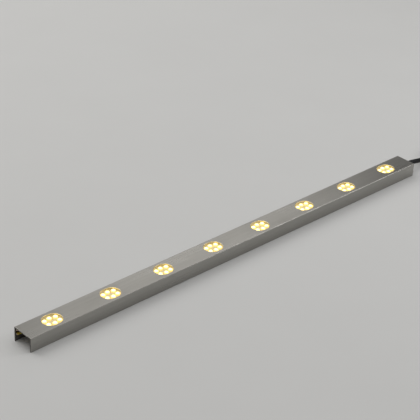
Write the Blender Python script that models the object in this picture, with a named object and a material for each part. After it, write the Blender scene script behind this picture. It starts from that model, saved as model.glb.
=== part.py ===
"""A rigid LED light bar: an aluminium channel with eight windows of six LEDs, and its supply lead.

The bar lies along X on the two legs of its channel.  The origin is at the middle of the bar, on
the surface that the legs stand on.  +Z points up through the windows.  The supply lead leaves the
open end at +X, and the wires for a next bar end inside the open end at -X.
"""

import math

import bmesh
import bpy

MM = 0.001
GAP = 0.3 * MM  # left between two pieces that touch on the real bar
SMOOTH_ANGLE = 35  # degrees between two faces that are still shaded as one surface

# The channel: an upside-down U with rounded long edges.
BAR_LENGTH = 500 * MM
BAR_WIDTH = 23 * MM
BAR_HEIGHT = 14.2 * MM
WALL = 1.2 * MM
OUTER_EDGE_RADIUS = 0.6 * MM
INNER_EDGE_RADIUS = 0.4 * MM
BAR_END = BAR_LENGTH / 2
WEB_UNDERSIDE = BAR_HEIGHT - WALL
INNER_HALF_WIDTH = BAR_WIDTH / 2 - WALL

# The windows: slots with round ends, one over each group of LEDs.
WINDOW_COUNT = 8
WINDOW_PITCH = 62 * MM
FIRST_WINDOW_SHIFT = 2 * MM  # the first window is this much nearer its end than the pitch puts it
WINDOW_LENGTH = 19.5 * MM
WINDOW_WIDTH = 16.5 * MM
WINDOW_ARC_STEPS = 10

# The LEDs: six of 4.8 mm at the corners of a hexagon, 6 mm apart.
LED_SPOTS = [
    (5.9 * MM, 3.0 * MM),
    (0.0, 4.2 * MM),
    (-5.9 * MM, 3.0 * MM),
    (-5.9 * MM, -3.0 * MM),
    (0.0, -4.2 * MM),
    (5.9 * MM, -3.0 * MM),
]
LED_RADIUS = 2.4 * MM
LED_TOP_RADIUS = 1.5 * MM
LED_TOP_HEIGHT = 1.1 * MM
LED_FLANGE_RADIUS = 3.1 * MM  # just enough to touch the next LED's flange
LED_FLANGE_HEIGHT = 0.8 * MM
LED_HEIGHT = 4.3 * MM
LED_SIDES = 8

# The circuit board under each group.
BOARD_LENGTH = 24 * MM
BOARD_WIDTH = 15 * MM
BOARD_THICKNESS = 1.6 * MM
BOARD_TOP = 9.3 * MM
BOARD_CORNER = 1.0 * MM

# The moulded holder between the board and the channel's web.
HOLDER_LENGTH = 24 * MM
HOLDER_WIDTH = 18.6 * MM
HOLDER_CORNER = 2.0 * MM
HOLDER_BOTTOM = 11.2 * MM
HOLDER_FLOOR = 12.0 * MM
HOLDER_TOP = WEB_UNDERSIDE - GAP
POCKET_MARGIN = 0.3 * MM  # how far the pocket is wider than the window, on each side
LED_HOLE_RADIUS = 2.75 * MM
HOLDER_FOOT_LENGTH = 1.8 * MM
HOLDER_FOOT_WIDTH = 14 * MM
HOLDER_FOOT_CORNER = 0.4 * MM
HOLDER_FOOT_INSET = 0.1 * MM
HOLDER_FOOT_OVERLAP = 0.6 * MM  # how far a foot reaches up into the holder's plate

# The two series resistors under each board.
RESISTOR_LENGTH = 6.3 * MM
RESISTOR_END_RADIUS = 1.15 * MM
RESISTOR_BODY_RADIUS = 0.95 * MM
RESISTOR_END_FLAT_RADIUS = 0.8 * MM
RESISTOR_SHOULDER = 0.55 * MM  # from an end to where the bulge is full
RESISTOR_NECK = 1.55 * MM  # from an end to where the body is straight
RESISTOR_OFFSET = 3.5 * MM
RESISTOR_SIDES = 8

# The two supply wires along the far wall.
WIRE_DIAMETER = 2.0 * MM
WIRE_Y = 9.0 * MM
RED_WIRE_Z = 9.9 * MM
RED_WIRE_END_Z = 11.5 * MM
YELLOW_WIRE_Z = 7.4 * MM
WIRE_END_X = -BAR_END + 0.6 * MM
WIRE_RISE_LENGTH = 16 * MM  # over which the red wire climbs to its free end
WIRE_CROSS_LENGTH = 10.8 * MM  # over which both wires cross from the wall to the lead
WIRE_STEPS = 10

# The supply lead.
CABLE_DIAMETER = 5 * MM
CABLE_START_X = BAR_END - 10 * MM
CABLE_Y = -0.5 * MM
CABLE_Z = 8.8 * MM
CORE_SPREAD = 1.15 * MM  # from the lead's centre to each of its two cores

# The lead's free run from the bar down to the hank, and from the hank to the plug.
LEAD_ROUTE = [
    (CABLE_START_X, CABLE_Y, CABLE_Z),
    (245 * MM, -0.5 * MM, 8.8 * MM),
    (250 * MM, -0.5 * MM, 8.8 * MM),
    (256 * MM, -0.6 * MM, 8.7 * MM),
    (262 * MM, -0.8 * MM, 8.1 * MM),
    (268 * MM, -0.9 * MM, 7.1 * MM),
    (274 * MM, -0.6 * MM, 5.9 * MM),
    (280 * MM, 0.2 * MM, 4.7 * MM),
    (286 * MM, 1.5 * MM, 3.65 * MM),
    (292 * MM, 3.1 * MM, 2.95 * MM),
    (297 * MM, 4.1 * MM, 2.65 * MM),
]
TAIL_ROUTE = [
    (378.4 * MM, 5 * MM, 12.5 * MM),
    (382 * MM, 5 * MM, 12.4 * MM),
    (386 * MM, 5 * MM, 11.6 * MM),
    (390 * MM, 5 * MM, 10.2 * MM),
    (394 * MM, 5 * MM, 8.6 * MM),
    (398 * MM, 5 * MM, 7.1 * MM),
    (402 * MM, 5 * MM, 5.9 * MM),
    (407 * MM, 5 * MM, 5.15 * MM),
    (412 * MM, 5 * MM, 5.05 * MM),
]
ROUTE_STEP = 2 * CABLE_DIAMETER

# The hank: turns with round end loops, drawn in at the middle by a tie.
HANK_X = 338.3 * MM
HANK_Y = -10 * MM
HANK_LOOP_RADIUS = 15 * MM
HANK_HALF_RUN = 27.2 * MM  # from the hank's middle to the centre of an end loop
HANK_PINCH = 9.9 * MM
HANK_BOTTOM = 0.9 * MM
HANK_TOP = 15.2 * MM
HANK_ARC_STEPS = 12
HANK_SIDE_STEPS = 10

# The tie round the hank's waist.
TIE_THICKNESS = 0.6 * MM
TIE_WIDTH = 5 * MM
TIE_INNER_HALF_WIDTH = 8.2 * MM
TIE_OUTER_CORNER = 1.2 * MM
TIE_INNER_CORNER = 0.3 * MM

# The clamp that holds the lead under the web, and its two screws.
CLAMP_X = 245 * MM
CLAMP_LENGTH = 7 * MM
CLAMP_HALF_WIDTH = 7.6 * MM
CLAMP_BORE_RADIUS = 2.9 * MM
CLAMP_SPLIT = 8.8 * MM
STRAP_OUTER_RADIUS = 4.1 * MM
STRAP_EAR_BOTTOM = 7.4 * MM
CLAMP_ARC_STEPS = 8
SCREW_OFFSET = 5.75 * MM
SCREW_SHANK_RADIUS = 1.0 * MM
SCREW_HEAD_RADIUS = 1.6 * MM
SCREW_HEAD_HEIGHT = 1.1 * MM
SCREW_TOP = 11.6 * MM
SCREW_HEAD_FLAT_RADIUS = 1.28 * MM
SCREW_HEAD_CHAMFER = 0.35 * MM
SCREW_POINT_RADIUS = 0.5 * MM
SCREW_POINT_LENGTH = 0.6 * MM
SCREW_SIDES = 12

# The barrel plug at the lead's far end, on an axis along X.
PLUG_START = 412.3 * MM
PLUG_Y = 5 * MM
PLUG_AXIS_Z = 5.05 * MM
BOOT_LENGTH = 14 * MM
BOOT_TIP_RADIUS = 3.3 * MM
BOOT_BASE_RADIUS = 4.4 * MM
PLUG_BODY_LENGTH = 22 * MM
PLUG_BODY_RADIUS = 5.0 * MM
BARREL_LENGTH = 9.5 * MM
BARREL_RADIUS = 2.75 * MM
BARREL_BORE_RADIUS = 2.35 * MM
INSULATOR_RADIUS = 2.0 * MM
INSULATOR_BORE_RADIUS = 1.05 * MM
PLUG_CHAMFER = 0.8 * MM
PLUG_SIDES = 16


def clear_scene():
    for old in list(bpy.data.objects):
        bpy.data.objects.remove(old, do_unlink=True)


def make_material(name, color, roughness, metallic=0.0):
    material = bpy.data.materials.new(name)
    material.use_nodes = True
    shader = material.node_tree.nodes["Principled BSDF"]
    shader.inputs["Base Color"].default_value = (*color, 1.0)
    shader.inputs["Roughness"].default_value = roughness
    shader.inputs["Metallic"].default_value = metallic
    return material


def make_object(name, data, material, location=(0, 0, 0), rotation=(0, 0, 0)):
    data.materials.clear()
    data.materials.append(material)
    made = bpy.data.objects.new(name, data)
    made.location = location
    made.rotation_euler = rotation
    bpy.context.scene.collection.objects.link(made)
    return made


def finish_mesh(name, shape):
    """Turns a closed bmesh into a mesh with its faces pointing out."""
    bmesh.ops.recalc_face_normals(shape, faces=shape.faces)
    mesh = bpy.data.meshes.new(name)
    shape.to_mesh(mesh)
    shape.free()
    return mesh


def arc(centre, radius, start, end, steps):
    """Points along an arc in a plane, both ends included, with the angles in degrees."""
    points = []
    for i in range(steps + 1):
        angle = math.radians(start + (end - start) * i / steps)
        points.append((centre[0] + radius * math.cos(angle), centre[1] + radius * math.sin(angle)))
    return points


def slot_outline(length, width, steps):
    """A slot with round ends, long along the first axis."""
    radius = width / 2
    middle = (length - width) / 2
    return arc((middle, 0), radius, -90, 90, steps) + arc((-middle, 0), radius, 90, 270, steps)


def rounded_rectangle(length, width, radius, steps):
    x, y = length / 2 - radius, width / 2 - radius
    return (
        arc((x, y), radius, 0, 90, steps)
        + arc((-x, y), radius, 90, 180, steps)
        + arc((-x, -y), radius, 180, 270, steps)
        + arc((x, -y), radius, 270, 360, steps)
    )


def prism_mesh(name, outline, low, high, axis="Z"):
    """The outline drawn out along an axis.  Along X, the outline is in Y and Z."""
    shape = bmesh.new()
    rings = []
    for level in (low, high):
        ring = []
        for u, v in outline:
            ring.append(shape.verts.new((u, v, level) if axis == "Z" else (level, u, v)))
        rings.append(ring)
        shape.faces.new(ring)
    for i in range(len(outline)):
        j = (i + 1) % len(outline)
        shape.faces.new((rings[0][i], rings[0][j], rings[1][j], rings[1][i]))
    return finish_mesh(name, shape)


def turned_mesh(name, profile, sides, closed=False, turn=0.0):
    """A body of revolution round Z, from (radius, height) points.  A closed profile makes a tube."""
    shape = bmesh.new()
    rings = []
    for radius, height in profile:
        ring = []
        for i in range(sides):
            angle = math.radians(turn) + 2 * math.pi * i / sides
            ring.append(shape.verts.new((radius * math.cos(angle), radius * math.sin(angle), height)))
        rings.append(ring)
    last = len(rings) if closed else len(rings) - 1
    for k in range(last):
        low, high = rings[k], rings[(k + 1) % len(rings)]
        for i in range(sides):
            j = (i + 1) % sides
            shape.faces.new((low[i], low[j], high[j], high[i]))
    if not closed:
        shape.faces.new(rings[0])
        shape.faces.new(rings[-1])
    return finish_mesh(name, shape)


def combine(body, tool, operation):
    """Cuts the tool out of the body or joins it on, and removes the tool."""
    modifier = body.modifiers.new(operation.lower(), "BOOLEAN")
    modifier.operation = operation
    modifier.solver = "EXACT"
    modifier.object = tool
    bpy.context.view_layer.update()
    evaluated = body.evaluated_get(bpy.context.evaluated_depsgraph_get())
    old = body.data
    body.data = bpy.data.meshes.new_from_object(evaluated)
    body.data.name = body.name
    body.modifiers.clear()
    bpy.data.meshes.remove(old)
    bpy.data.objects.remove(tool, do_unlink=True)


def smooth_route(route, step):
    """Points about a step apart along the Catmull-Rom curve through the route's points."""
    points = [route[0]]
    for i in range(len(route) - 1):
        before, start = route[max(i - 1, 0)], route[i]
        end, after = route[i + 1], route[min(i + 2, len(route) - 1)]
        pieces = max(1, round(math.dist(start, end) / step))
        for k in range(1, pieces + 1):
            t = k / pieces
            point = []
            for a, b, c, d in zip(before, start, end, after):
                bend = 2 * a - 5 * b + 4 * c - d
                twist = -a + 3 * b - 3 * c + d
                point.append((2 * b + (c - a) * t + bend * t * t + twist * t * t * t) / 2)
            points.append(tuple(point))
    return points


def make_tube(name, points, diameter, material):
    """A round wire or cable along the points, with flat closed ends."""
    curve = bpy.data.curves.new(name, "CURVE")
    curve.dimensions = "3D"
    curve.bevel_depth = diameter / 2
    curve.bevel_resolution = 2
    curve.use_fill_caps = True
    spline = curve.splines.new("POLY")
    spline.points.add(len(points) - 1)
    for target, point in zip(spline.points, points):
        target.co = (*point, 1.0)
    return make_object(name, curve, material)


def window_centres():
    middle = (WINDOW_COUNT - 1) / 2
    centres = [(i - middle) * WINDOW_PITCH for i in range(WINDOW_COUNT)]
    centres[0] -= FIRST_WINDOW_SHIFT
    return centres


def make_channel(material):
    outer_side = BAR_WIDTH / 2
    outer_corner = (outer_side - OUTER_EDGE_RADIUS, BAR_HEIGHT - OUTER_EDGE_RADIUS)
    inner_corner = (INNER_HALF_WIDTH - INNER_EDGE_RADIUS, WEB_UNDERSIDE - INNER_EDGE_RADIUS)
    outline = [(outer_side, 0)]
    outline += arc(outer_corner, OUTER_EDGE_RADIUS, 0, 90, 3)
    outline += arc((-outer_corner[0], outer_corner[1]), OUTER_EDGE_RADIUS, 90, 180, 3)
    outline += [(-outer_side, 0), (-INNER_HALF_WIDTH, 0)]
    outline += arc((-inner_corner[0], inner_corner[1]), INNER_EDGE_RADIUS, 180, 90, 2)
    outline += arc(inner_corner, INNER_EDGE_RADIUS, 90, 0, 2)
    outline += [(INNER_HALF_WIDTH, 0)]
    channel = make_object("channel", prism_mesh("channel", outline, -BAR_END, BAR_END, "X"), material)
    window = slot_outline(WINDOW_LENGTH, WINDOW_WIDTH, WINDOW_ARC_STEPS)
    for x in window_centres():
        mesh = prism_mesh("window", window, WEB_UNDERSIDE - 2 * WALL, BAR_HEIGHT + WALL)
        combine(channel, make_object("window", mesh, material, (x, 0, 0)), "DIFFERENCE")
    return channel


def led_cluster_mesh(material):
    """Six LEDs that are one body, because their flanges touch round the ring."""
    half_turn = 180 / LED_SIDES  # puts a flat, and not a corner, towards the next LED
    flange_corner = LED_FLANGE_RADIUS / math.cos(math.radians(half_turn))
    profile = [
        (flange_corner, 0),
        (flange_corner, LED_FLANGE_HEIGHT),
        (LED_RADIUS, LED_FLANGE_HEIGHT),
        (LED_RADIUS, LED_HEIGHT - LED_TOP_HEIGHT),
        (LED_TOP_RADIUS, LED_HEIGHT),
    ]
    leds = []
    for x, y in LED_SPOTS:
        mesh = turned_mesh("led", profile, LED_SIDES, turn=half_turn)
        leds.append(make_object("led", mesh, material, (x, y, 0)))
    cluster = leds[0]
    for led in leds[1:]:
        combine(cluster, led, "UNION")
    # The mesh is in the frame of the first LED, so it is moved to the middle of the cluster.
    mesh = cluster.data.copy()
    for vertex in mesh.vertices:
        vertex.co.x += LED_SPOTS[0][0]
        vertex.co.y += LED_SPOTS[0][1]
    bpy.data.objects.remove(cluster, do_unlink=True)
    return mesh


def led_holder_mesh(material):
    outline = rounded_rectangle(HOLDER_LENGTH, HOLDER_WIDTH, HOLDER_CORNER, 3)
    holder = make_object("holder", prism_mesh("holder", outline, HOLDER_BOTTOM, HOLDER_TOP), material)
    pocket = slot_outline(WINDOW_LENGTH + 2 * POCKET_MARGIN, WINDOW_WIDTH + 2 * POCKET_MARGIN, 8)
    mesh = prism_mesh("pocket", pocket, HOLDER_FLOOR, HOLDER_TOP + WALL)
    combine(holder, make_object("pocket", mesh, material), "DIFFERENCE")
    half_turn = 180 / LED_SIDES
    for x, y in LED_SPOTS:
        profile = [(LED_HOLE_RADIUS, HOLDER_BOTTOM - WALL), (LED_HOLE_RADIUS, HOLDER_TOP)]
        mesh = turned_mesh("led_hole", profile, LED_SIDES, turn=half_turn)
        combine(holder, make_object("led_hole", mesh, material, (x, y, 0)), "DIFFERENCE")
    foot = rounded_rectangle(HOLDER_FOOT_LENGTH, HOLDER_FOOT_WIDTH, HOLDER_FOOT_CORNER, 1)
    foot_x = (HOLDER_LENGTH - HOLDER_FOOT_LENGTH) / 2 - HOLDER_FOOT_INSET
    for side in (-1, 1):
        mesh = prism_mesh("foot", foot, BOARD_TOP + GAP, HOLDER_BOTTOM + HOLDER_FOOT_OVERLAP)
        combine(holder, make_object("foot", mesh, material, (side * foot_x, 0, 0)), "UNION")
    mesh = holder.data.copy()
    bpy.data.objects.remove(holder, do_unlink=True)
    return mesh


def resistor_mesh():
    half = RESISTOR_LENGTH / 2
    profile = [
        (RESISTOR_END_FLAT_RADIUS, -half),
        (RESISTOR_END_RADIUS, -half + RESISTOR_SHOULDER),
        (RESISTOR_BODY_RADIUS, -half + RESISTOR_NECK),
        (RESISTOR_BODY_RADIUS, half - RESISTOR_NECK),
        (RESISTOR_END_RADIUS, half - RESISTOR_SHOULDER),
        (RESISTOR_END_FLAT_RADIUS, half),
    ]
    return turned_mesh("resistor", profile, RESISTOR_SIDES)


def make_light_groups(materials):
    """The board, LEDs, holder and resistors under each window."""
    board_outline = rounded_rectangle(BOARD_LENGTH, BOARD_WIDTH, BOARD_CORNER, 1)
    board = prism_mesh("led_board", board_outline, 0, BOARD_THICKNESS)
    cluster = led_cluster_mesh(materials["led"])
    holder = led_holder_mesh(materials["white_plastic"])
    resistor = resistor_mesh()
    along_x = (0, math.pi / 2, 0)
    board_z = BOARD_TOP - BOARD_THICKNESS
    resistor_z = board_z - GAP - RESISTOR_END_RADIUS
    for number, x in enumerate(window_centres(), start=1):
        make_object(f"led_board_{number}", board, materials["board"], (x, 0, board_z))
        make_object(f"led_cluster_{number}", cluster, materials["led"], (x, 0, BOARD_TOP + GAP))
        make_object(f"led_holder_{number}", holder, materials["white_plastic"], (x, 0, 0))
        for letter, side in (("a", 1), ("b", -1)):
            spot = (x, side * RESISTOR_OFFSET, resistor_z)
            make_object(f"resistor_{letter}_{number}", resistor, materials["resistor"], spot, along_x)


def ease(t):
    """A smooth step from 0 to 1."""
    return t * t * (3 - 2 * t)


def wire_route(z, end_z, core_z):
    """A wire from the open end, along the far wall, and over to its core in the lead."""
    end_x = CABLE_START_X - GAP
    points = []
    for i in range(WIRE_STEPS + 1):
        t = i / WIRE_STEPS
        points.append((WIRE_END_X + WIRE_RISE_LENGTH * t, WIRE_Y, end_z + (z - end_z) * ease(t)))
    for i in range(WIRE_STEPS + 1):
        t = i / WIRE_STEPS
        y = WIRE_Y + (CABLE_Y - WIRE_Y) * ease(t)
        points.append((end_x - WIRE_CROSS_LENGTH * (1 - t), y, z + (core_z - z) * ease(t)))
    return points


def make_wires(materials):
    red = wire_route(RED_WIRE_Z, RED_WIRE_END_Z, CABLE_Z + CORE_SPREAD)
    yellow = wire_route(YELLOW_WIRE_Z, YELLOW_WIRE_Z, CABLE_Z - CORE_SPREAD)
    make_tube("red_wire", red, WIRE_DIAMETER, materials["red_pvc"])
    make_tube("yellow_wire", yellow, WIRE_DIAMETER, materials["yellow_pvc"])


def make_clamp(materials):
    """A block under the web and a strap below it, with the lead between them and two screws."""
    low, high = CLAMP_X - CLAMP_LENGTH / 2, CLAMP_X + CLAMP_LENGTH / 2
    side = CLAMP_HALF_WIDTH
    split = GAP / 2
    edge = math.degrees(math.asin(split / CLAMP_BORE_RADIUS))
    block = [(-side, split)]
    block += arc((0, 0), CLAMP_BORE_RADIUS, 180 - edge, edge, CLAMP_ARC_STEPS)
    block += [(side, split), (side, HOLDER_TOP - CLAMP_SPLIT), (-side, HOLDER_TOP - CLAMP_SPLIT)]
    strap = [(-side, -split)]
    strap += arc((0, 0), CLAMP_BORE_RADIUS, 180 + edge, 360 - edge, CLAMP_ARC_STEPS)
    strap += [(side, -split), (side, STRAP_EAR_BOTTOM - CLAMP_SPLIT)]
    ear = math.degrees(math.asin((STRAP_EAR_BOTTOM - CLAMP_SPLIT) / STRAP_OUTER_RADIUS))
    strap += arc((0, 0), STRAP_OUTER_RADIUS, 360 + ear, 180 - ear, CLAMP_ARC_STEPS)
    strap += [(-side, STRAP_EAR_BOTTOM - CLAMP_SPLIT)]
    place = (0, CABLE_Y, CLAMP_SPLIT)
    parts = []
    for name, outline in (("cable_clamp_base", block), ("cable_clamp_strap", strap)):
        mesh = prism_mesh(name, outline, low, high, "X")
        parts.append(make_object(name, mesh, materials["black_plastic"], place))
    hole = [(SCREW_SHANK_RADIUS + GAP, 0), (SCREW_SHANK_RADIUS + GAP, SCREW_TOP + GAP)]
    head_top = STRAP_EAR_BOTTOM - GAP
    head_bottom = head_top - SCREW_HEAD_HEIGHT
    screw = [
        (SCREW_HEAD_FLAT_RADIUS, head_bottom),
        (SCREW_HEAD_RADIUS, head_bottom + SCREW_HEAD_CHAMFER),
        (SCREW_HEAD_RADIUS, head_top),
        (SCREW_SHANK_RADIUS, head_top),
        (SCREW_SHANK_RADIUS, SCREW_TOP - SCREW_POINT_LENGTH),
        (SCREW_POINT_RADIUS, SCREW_TOP),
    ]
    for number, sign in ((1, 1), (2, -1)):
        spot = (CLAMP_X, CABLE_Y + sign * SCREW_OFFSET, 0)
        for part in parts:
            mesh = turned_mesh("screw_hole", hole, SCREW_SIDES)
            combine(part, make_object("screw_hole", mesh, materials["steel"], spot), "DIFFERENCE")
        mesh = turned_mesh("clamp_screw", screw, SCREW_SIDES)
        make_object(f"clamp_screw_{number}", mesh, materials["steel"], spot)


def hank_outline():
    """The hank seen from above: two round end loops, with sides that draw in at the middle."""
    loop = HANK_LOOP_RADIUS + CABLE_DIAMETER / 2
    side = []
    for i in range(1, HANK_SIDE_STEPS):
        x = HANK_HALF_RUN * (1 - 2 * i / HANK_SIDE_STEPS)
        drawn_in = HANK_PINCH * (1 + math.cos(math.pi * x / HANK_HALF_RUN)) / 2
        side.append((x, loop - drawn_in))
    outline = arc((HANK_HALF_RUN, 0), loop, -90, 90, HANK_ARC_STEPS)
    outline += side
    outline += arc((-HANK_HALF_RUN, 0), loop, 90, 270, HANK_ARC_STEPS)
    outline += [(-x, -y) for x, y in side]
    return outline


def make_lead(materials):
    make_tube("cable", smooth_route(LEAD_ROUTE, ROUTE_STEP), CABLE_DIAMETER, materials["black_pvc"])
    make_tube("cable_tail", smooth_route(TAIL_ROUTE, ROUTE_STEP), CABLE_DIAMETER, materials["black_pvc"])
    hank = prism_mesh("cable_hank", hank_outline(), HANK_BOTTOM, HANK_TOP)
    make_object("cable_hank", hank, materials["black_pvc"], (HANK_X, HANK_Y, 0))
    outer = (HANK_TOP + GAP + TIE_THICKNESS, TIE_INNER_HALF_WIDTH + TIE_THICKNESS)
    inner = (HANK_TOP + GAP - TIE_THICKNESS, TIE_INNER_HALF_WIDTH)
    middle = outer[0] / 2
    band = rounded_rectangle(2 * outer[1], outer[0], TIE_OUTER_CORNER, 2)
    hole = rounded_rectangle(2 * inner[1], inner[0], TIE_INNER_CORNER, 1)
    low, high = -TIE_WIDTH / 2, TIE_WIDTH / 2
    mesh = prism_mesh("hank_tie", band, low, high, "X")
    tie = make_object("hank_tie", mesh, materials["black_plastic"], (HANK_X, HANK_Y, middle))
    mesh = prism_mesh("tie_hole", hole, 2 * low, 2 * high, "X")
    tool = make_object("tie_hole", mesh, materials["black_plastic"], (HANK_X, HANK_Y, middle))
    combine(tie, tool, "DIFFERENCE")


def make_plug(materials):
    boot_end = BOOT_LENGTH
    body_start = boot_end + GAP
    body_end = body_start + PLUG_BODY_LENGTH
    barrel_start = body_end + GAP
    barrel_end = barrel_start + BARREL_LENGTH
    boot = [
        (BOOT_TIP_RADIUS, 0),
        (BOOT_BASE_RADIUS, boot_end - PLUG_CHAMFER),
        (BOOT_BASE_RADIUS, boot_end),
    ]
    body = [
        (PLUG_BODY_RADIUS - PLUG_CHAMFER, body_start),
        (PLUG_BODY_RADIUS, body_start + PLUG_CHAMFER),
        (PLUG_BODY_RADIUS, body_end - PLUG_CHAMFER),
        (PLUG_BODY_RADIUS - PLUG_CHAMFER, body_end),
    ]
    barrel = [
        (BARREL_BORE_RADIUS, barrel_start),
        (BARREL_RADIUS, barrel_start),
        (BARREL_RADIUS, barrel_end),
        (BARREL_BORE_RADIUS, barrel_end),
    ]
    insulator = [
        (INSULATOR_BORE_RADIUS, barrel_start),
        (INSULATOR_RADIUS, barrel_start),
        (INSULATOR_RADIUS, barrel_end),
        (INSULATOR_BORE_RADIUS, barrel_end),
    ]
    along_x = (0, math.pi / 2, 0)
    place = (PLUG_START, PLUG_Y, PLUG_AXIS_Z)
    for name, profile, closed, material in (
        ("plug_boot", boot, False, "black_pvc"),
        ("plug_body", body, False, "black_plastic"),
        ("plug_barrel", barrel, True, "steel"),
        ("plug_insulator", insulator, True, "black_plastic"),
    ):
        mesh = turned_mesh(name, profile, PLUG_SIDES, closed)
        make_object(name, mesh, materials[material], place, along_x)


def shade_round_pieces():
    for made in bpy.context.scene.objects:
        if made.type == "MESH":
            made.data.shade_smooth()
            made.data.set_sharp_from_angle(angle=math.radians(SMOOTH_ANGLE))


def main():
    clear_scene()
    materials = {
        "aluminium": make_material("anodised_aluminium", (0.62, 0.62, 0.60), 0.35, 1.0),
        "led": make_material("led_epoxy", (1.0, 0.86, 0.48), 0.2),
        "board": make_material("circuit_board", (0.85, 0.84, 0.78), 0.5),
        "white_plastic": make_material("white_plastic", (0.86, 0.82, 0.70), 0.5),
        "resistor": make_material("resistor_body", (0.72, 0.60, 0.42), 0.5),
        "red_pvc": make_material("red_pvc", (0.35, 0.03, 0.02), 0.45),
        "yellow_pvc": make_material("yellow_pvc", (0.75, 0.55, 0.05), 0.45),
        "black_pvc": make_material("black_pvc", (0.015, 0.015, 0.016), 0.5),
        "black_plastic": make_material("black_plastic", (0.02, 0.02, 0.02), 0.45),
        "steel": make_material("plated_steel", (0.60, 0.60, 0.60), 0.3, 1.0),
    }
    make_channel(materials["aluminium"])
    make_light_groups(materials)
    make_wires(materials)
    make_clamp(materials)
    make_lead(materials)
    make_plug(materials)
    shade_round_pieces()


main()
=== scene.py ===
"""The looks of a slim LED light bar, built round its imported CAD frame.

The bar lies along X with its windows up.  The camera and the supply lead come first, then the
channel, the eight light groups behind its windows, the wiring, the clamp, the hank's tie and the
plug.  Lengths are in metres, and most are written as millimetres times MM.
"""

import math

import bmesh
import bpy
from mathutils import Matrix, Vector


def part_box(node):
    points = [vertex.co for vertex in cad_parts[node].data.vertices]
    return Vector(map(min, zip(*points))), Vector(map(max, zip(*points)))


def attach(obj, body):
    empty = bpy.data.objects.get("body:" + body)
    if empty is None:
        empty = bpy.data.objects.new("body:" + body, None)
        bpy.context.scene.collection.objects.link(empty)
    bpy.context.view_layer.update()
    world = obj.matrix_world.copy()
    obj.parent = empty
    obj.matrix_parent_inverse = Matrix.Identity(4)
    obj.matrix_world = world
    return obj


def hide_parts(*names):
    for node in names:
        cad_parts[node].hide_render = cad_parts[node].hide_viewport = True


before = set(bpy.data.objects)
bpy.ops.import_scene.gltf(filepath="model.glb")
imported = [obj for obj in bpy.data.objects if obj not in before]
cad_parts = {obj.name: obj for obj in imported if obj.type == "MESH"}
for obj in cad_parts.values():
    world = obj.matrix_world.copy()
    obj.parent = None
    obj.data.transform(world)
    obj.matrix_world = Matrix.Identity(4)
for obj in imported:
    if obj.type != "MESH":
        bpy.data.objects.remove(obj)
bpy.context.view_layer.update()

MM = 0.001
MARGIN = 0.3 * MM


def in_mm(rows):
    """Rows of lengths given in millimetres, in metres."""
    return [tuple(length * MM for length in row) for row in rows]


# The camera, at the picture's viewing angle.
CAMERA_AZIMUTH = -44.95
CAMERA_ELEVATION = 29.87
CAMERA_ROLL = 3.27
CAMERA_LENS = 116.66
SENSOR_WIDTH = 36
CAMERA_TARGET = Vector((0.0311, 0.0691, 0.0))
CAMERA_DISTANCE = 1.3549

# The channel, from its box in the frame, and what the box doesn't tell.
CHANNEL_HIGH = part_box("channel")[1]
BAR_END = CHANNEL_HIGH.x
HALF_WIDTH = CHANNEL_HIGH.y
BAR_TOP = CHANNEL_HIGH.z
WALL = 1.2 * MM
WEB_UNDERSIDE = BAR_TOP - WALL
INNER_HALF_WIDTH = HALF_WIDTH - WALL
OUTER_EDGE_RADIUS = 0.6 * MM
INNER_EDGE_RADIUS = 0.4 * MM
FOOT_EDGE_RADIUS = 0.55 * MM
END_BURR = 0.12 * MM
WINDOW_COUNT = 8
WINDOW_LENGTH = 19.5 * MM
WINDOW_WIDTH = 16.5 * MM
WINDOW_STEPS = 24

# The LEDs in each group, from the group's centre.
LED_SPOTS = in_mm([(5.9, 3.0), (0.0, 4.2), (-5.9, 3.0), (-5.9, -3.0), (0.0, -4.2), (5.9, -3.0)])
LED_RADIUS = 2.4 * MM
LED_FLANGE_RADIUS = 2.9 * MM
LED_HEIGHT = 4.3 * MM
LED_SIDES = 32
LED_HOLE_RADIUS = 2.7 * MM

# The supply lead: from the clamp to the hank, and its last stretch to the plug.
CABLE_DIAMETER = 5 * MM
LEAD_ROUTE = in_mm([
    (240, -0.5, 8.8), (245, -0.5, 8.8), (250, -0.5, 8.8), (256, -0.6, 8.7),
    (262, -0.8, 8.1), (268, -0.9, 7.1), (274, -0.6, 5.9), (280, 0.2, 4.7),
    (286, 1.5, 3.65), (292, 3.1, 2.95), (297, 4.1, 2.65), (302, 4.75, 2.52),
])
TAIL_ROUTE = in_mm([
    (372, 5, 12.5), (378.4, 5, 12.5), (382, 5, 12.4), (386, 5, 11.6), (390, 5, 10.2),
    (394, 5, 8.6), (398, 5, 7.1), (402, 5, 5.9), (407, 5, 5.15), (412, 5, 5.05),
])
ROUTE_STEP = 1.2 * MM

# The supply wires inside the channel, along its +Y wall.
WIRE_DIAMETER = 2.0 * MM
WIRE_Y = 9.0 * MM
RED_WIRE_Z = 9.9 * MM
RED_WIRE_END_Z = 11.5 * MM
YELLOW_WIRE_Z = 7.4 * MM
WIRE_END_X = -BAR_END + 0.6 * MM
WIRE_BARE_LENGTH = 0.8 * MM
WIRE_RISE_LENGTH = 16 * MM
WIRE_CROSS_LENGTH = 10.8 * MM
WIRE_STEPS = 24
CABLE_Y = LEAD_ROUTE[0][1]
CABLE_Z = LEAD_ROUTE[0][2]
CORE_SPREAD = 1.15 * MM
STRAND_DIAMETER = 0.42 * MM
STRAND_COUNT = 6
STRAND_STEPS = 12
STRAND_ROOT = 0.5 * MM
STRAND_RING_RADIUS = 1.02 * STRAND_DIAMETER
STRAND_FLARE = 0.22
STRAND_TWIST = 1.1

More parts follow.
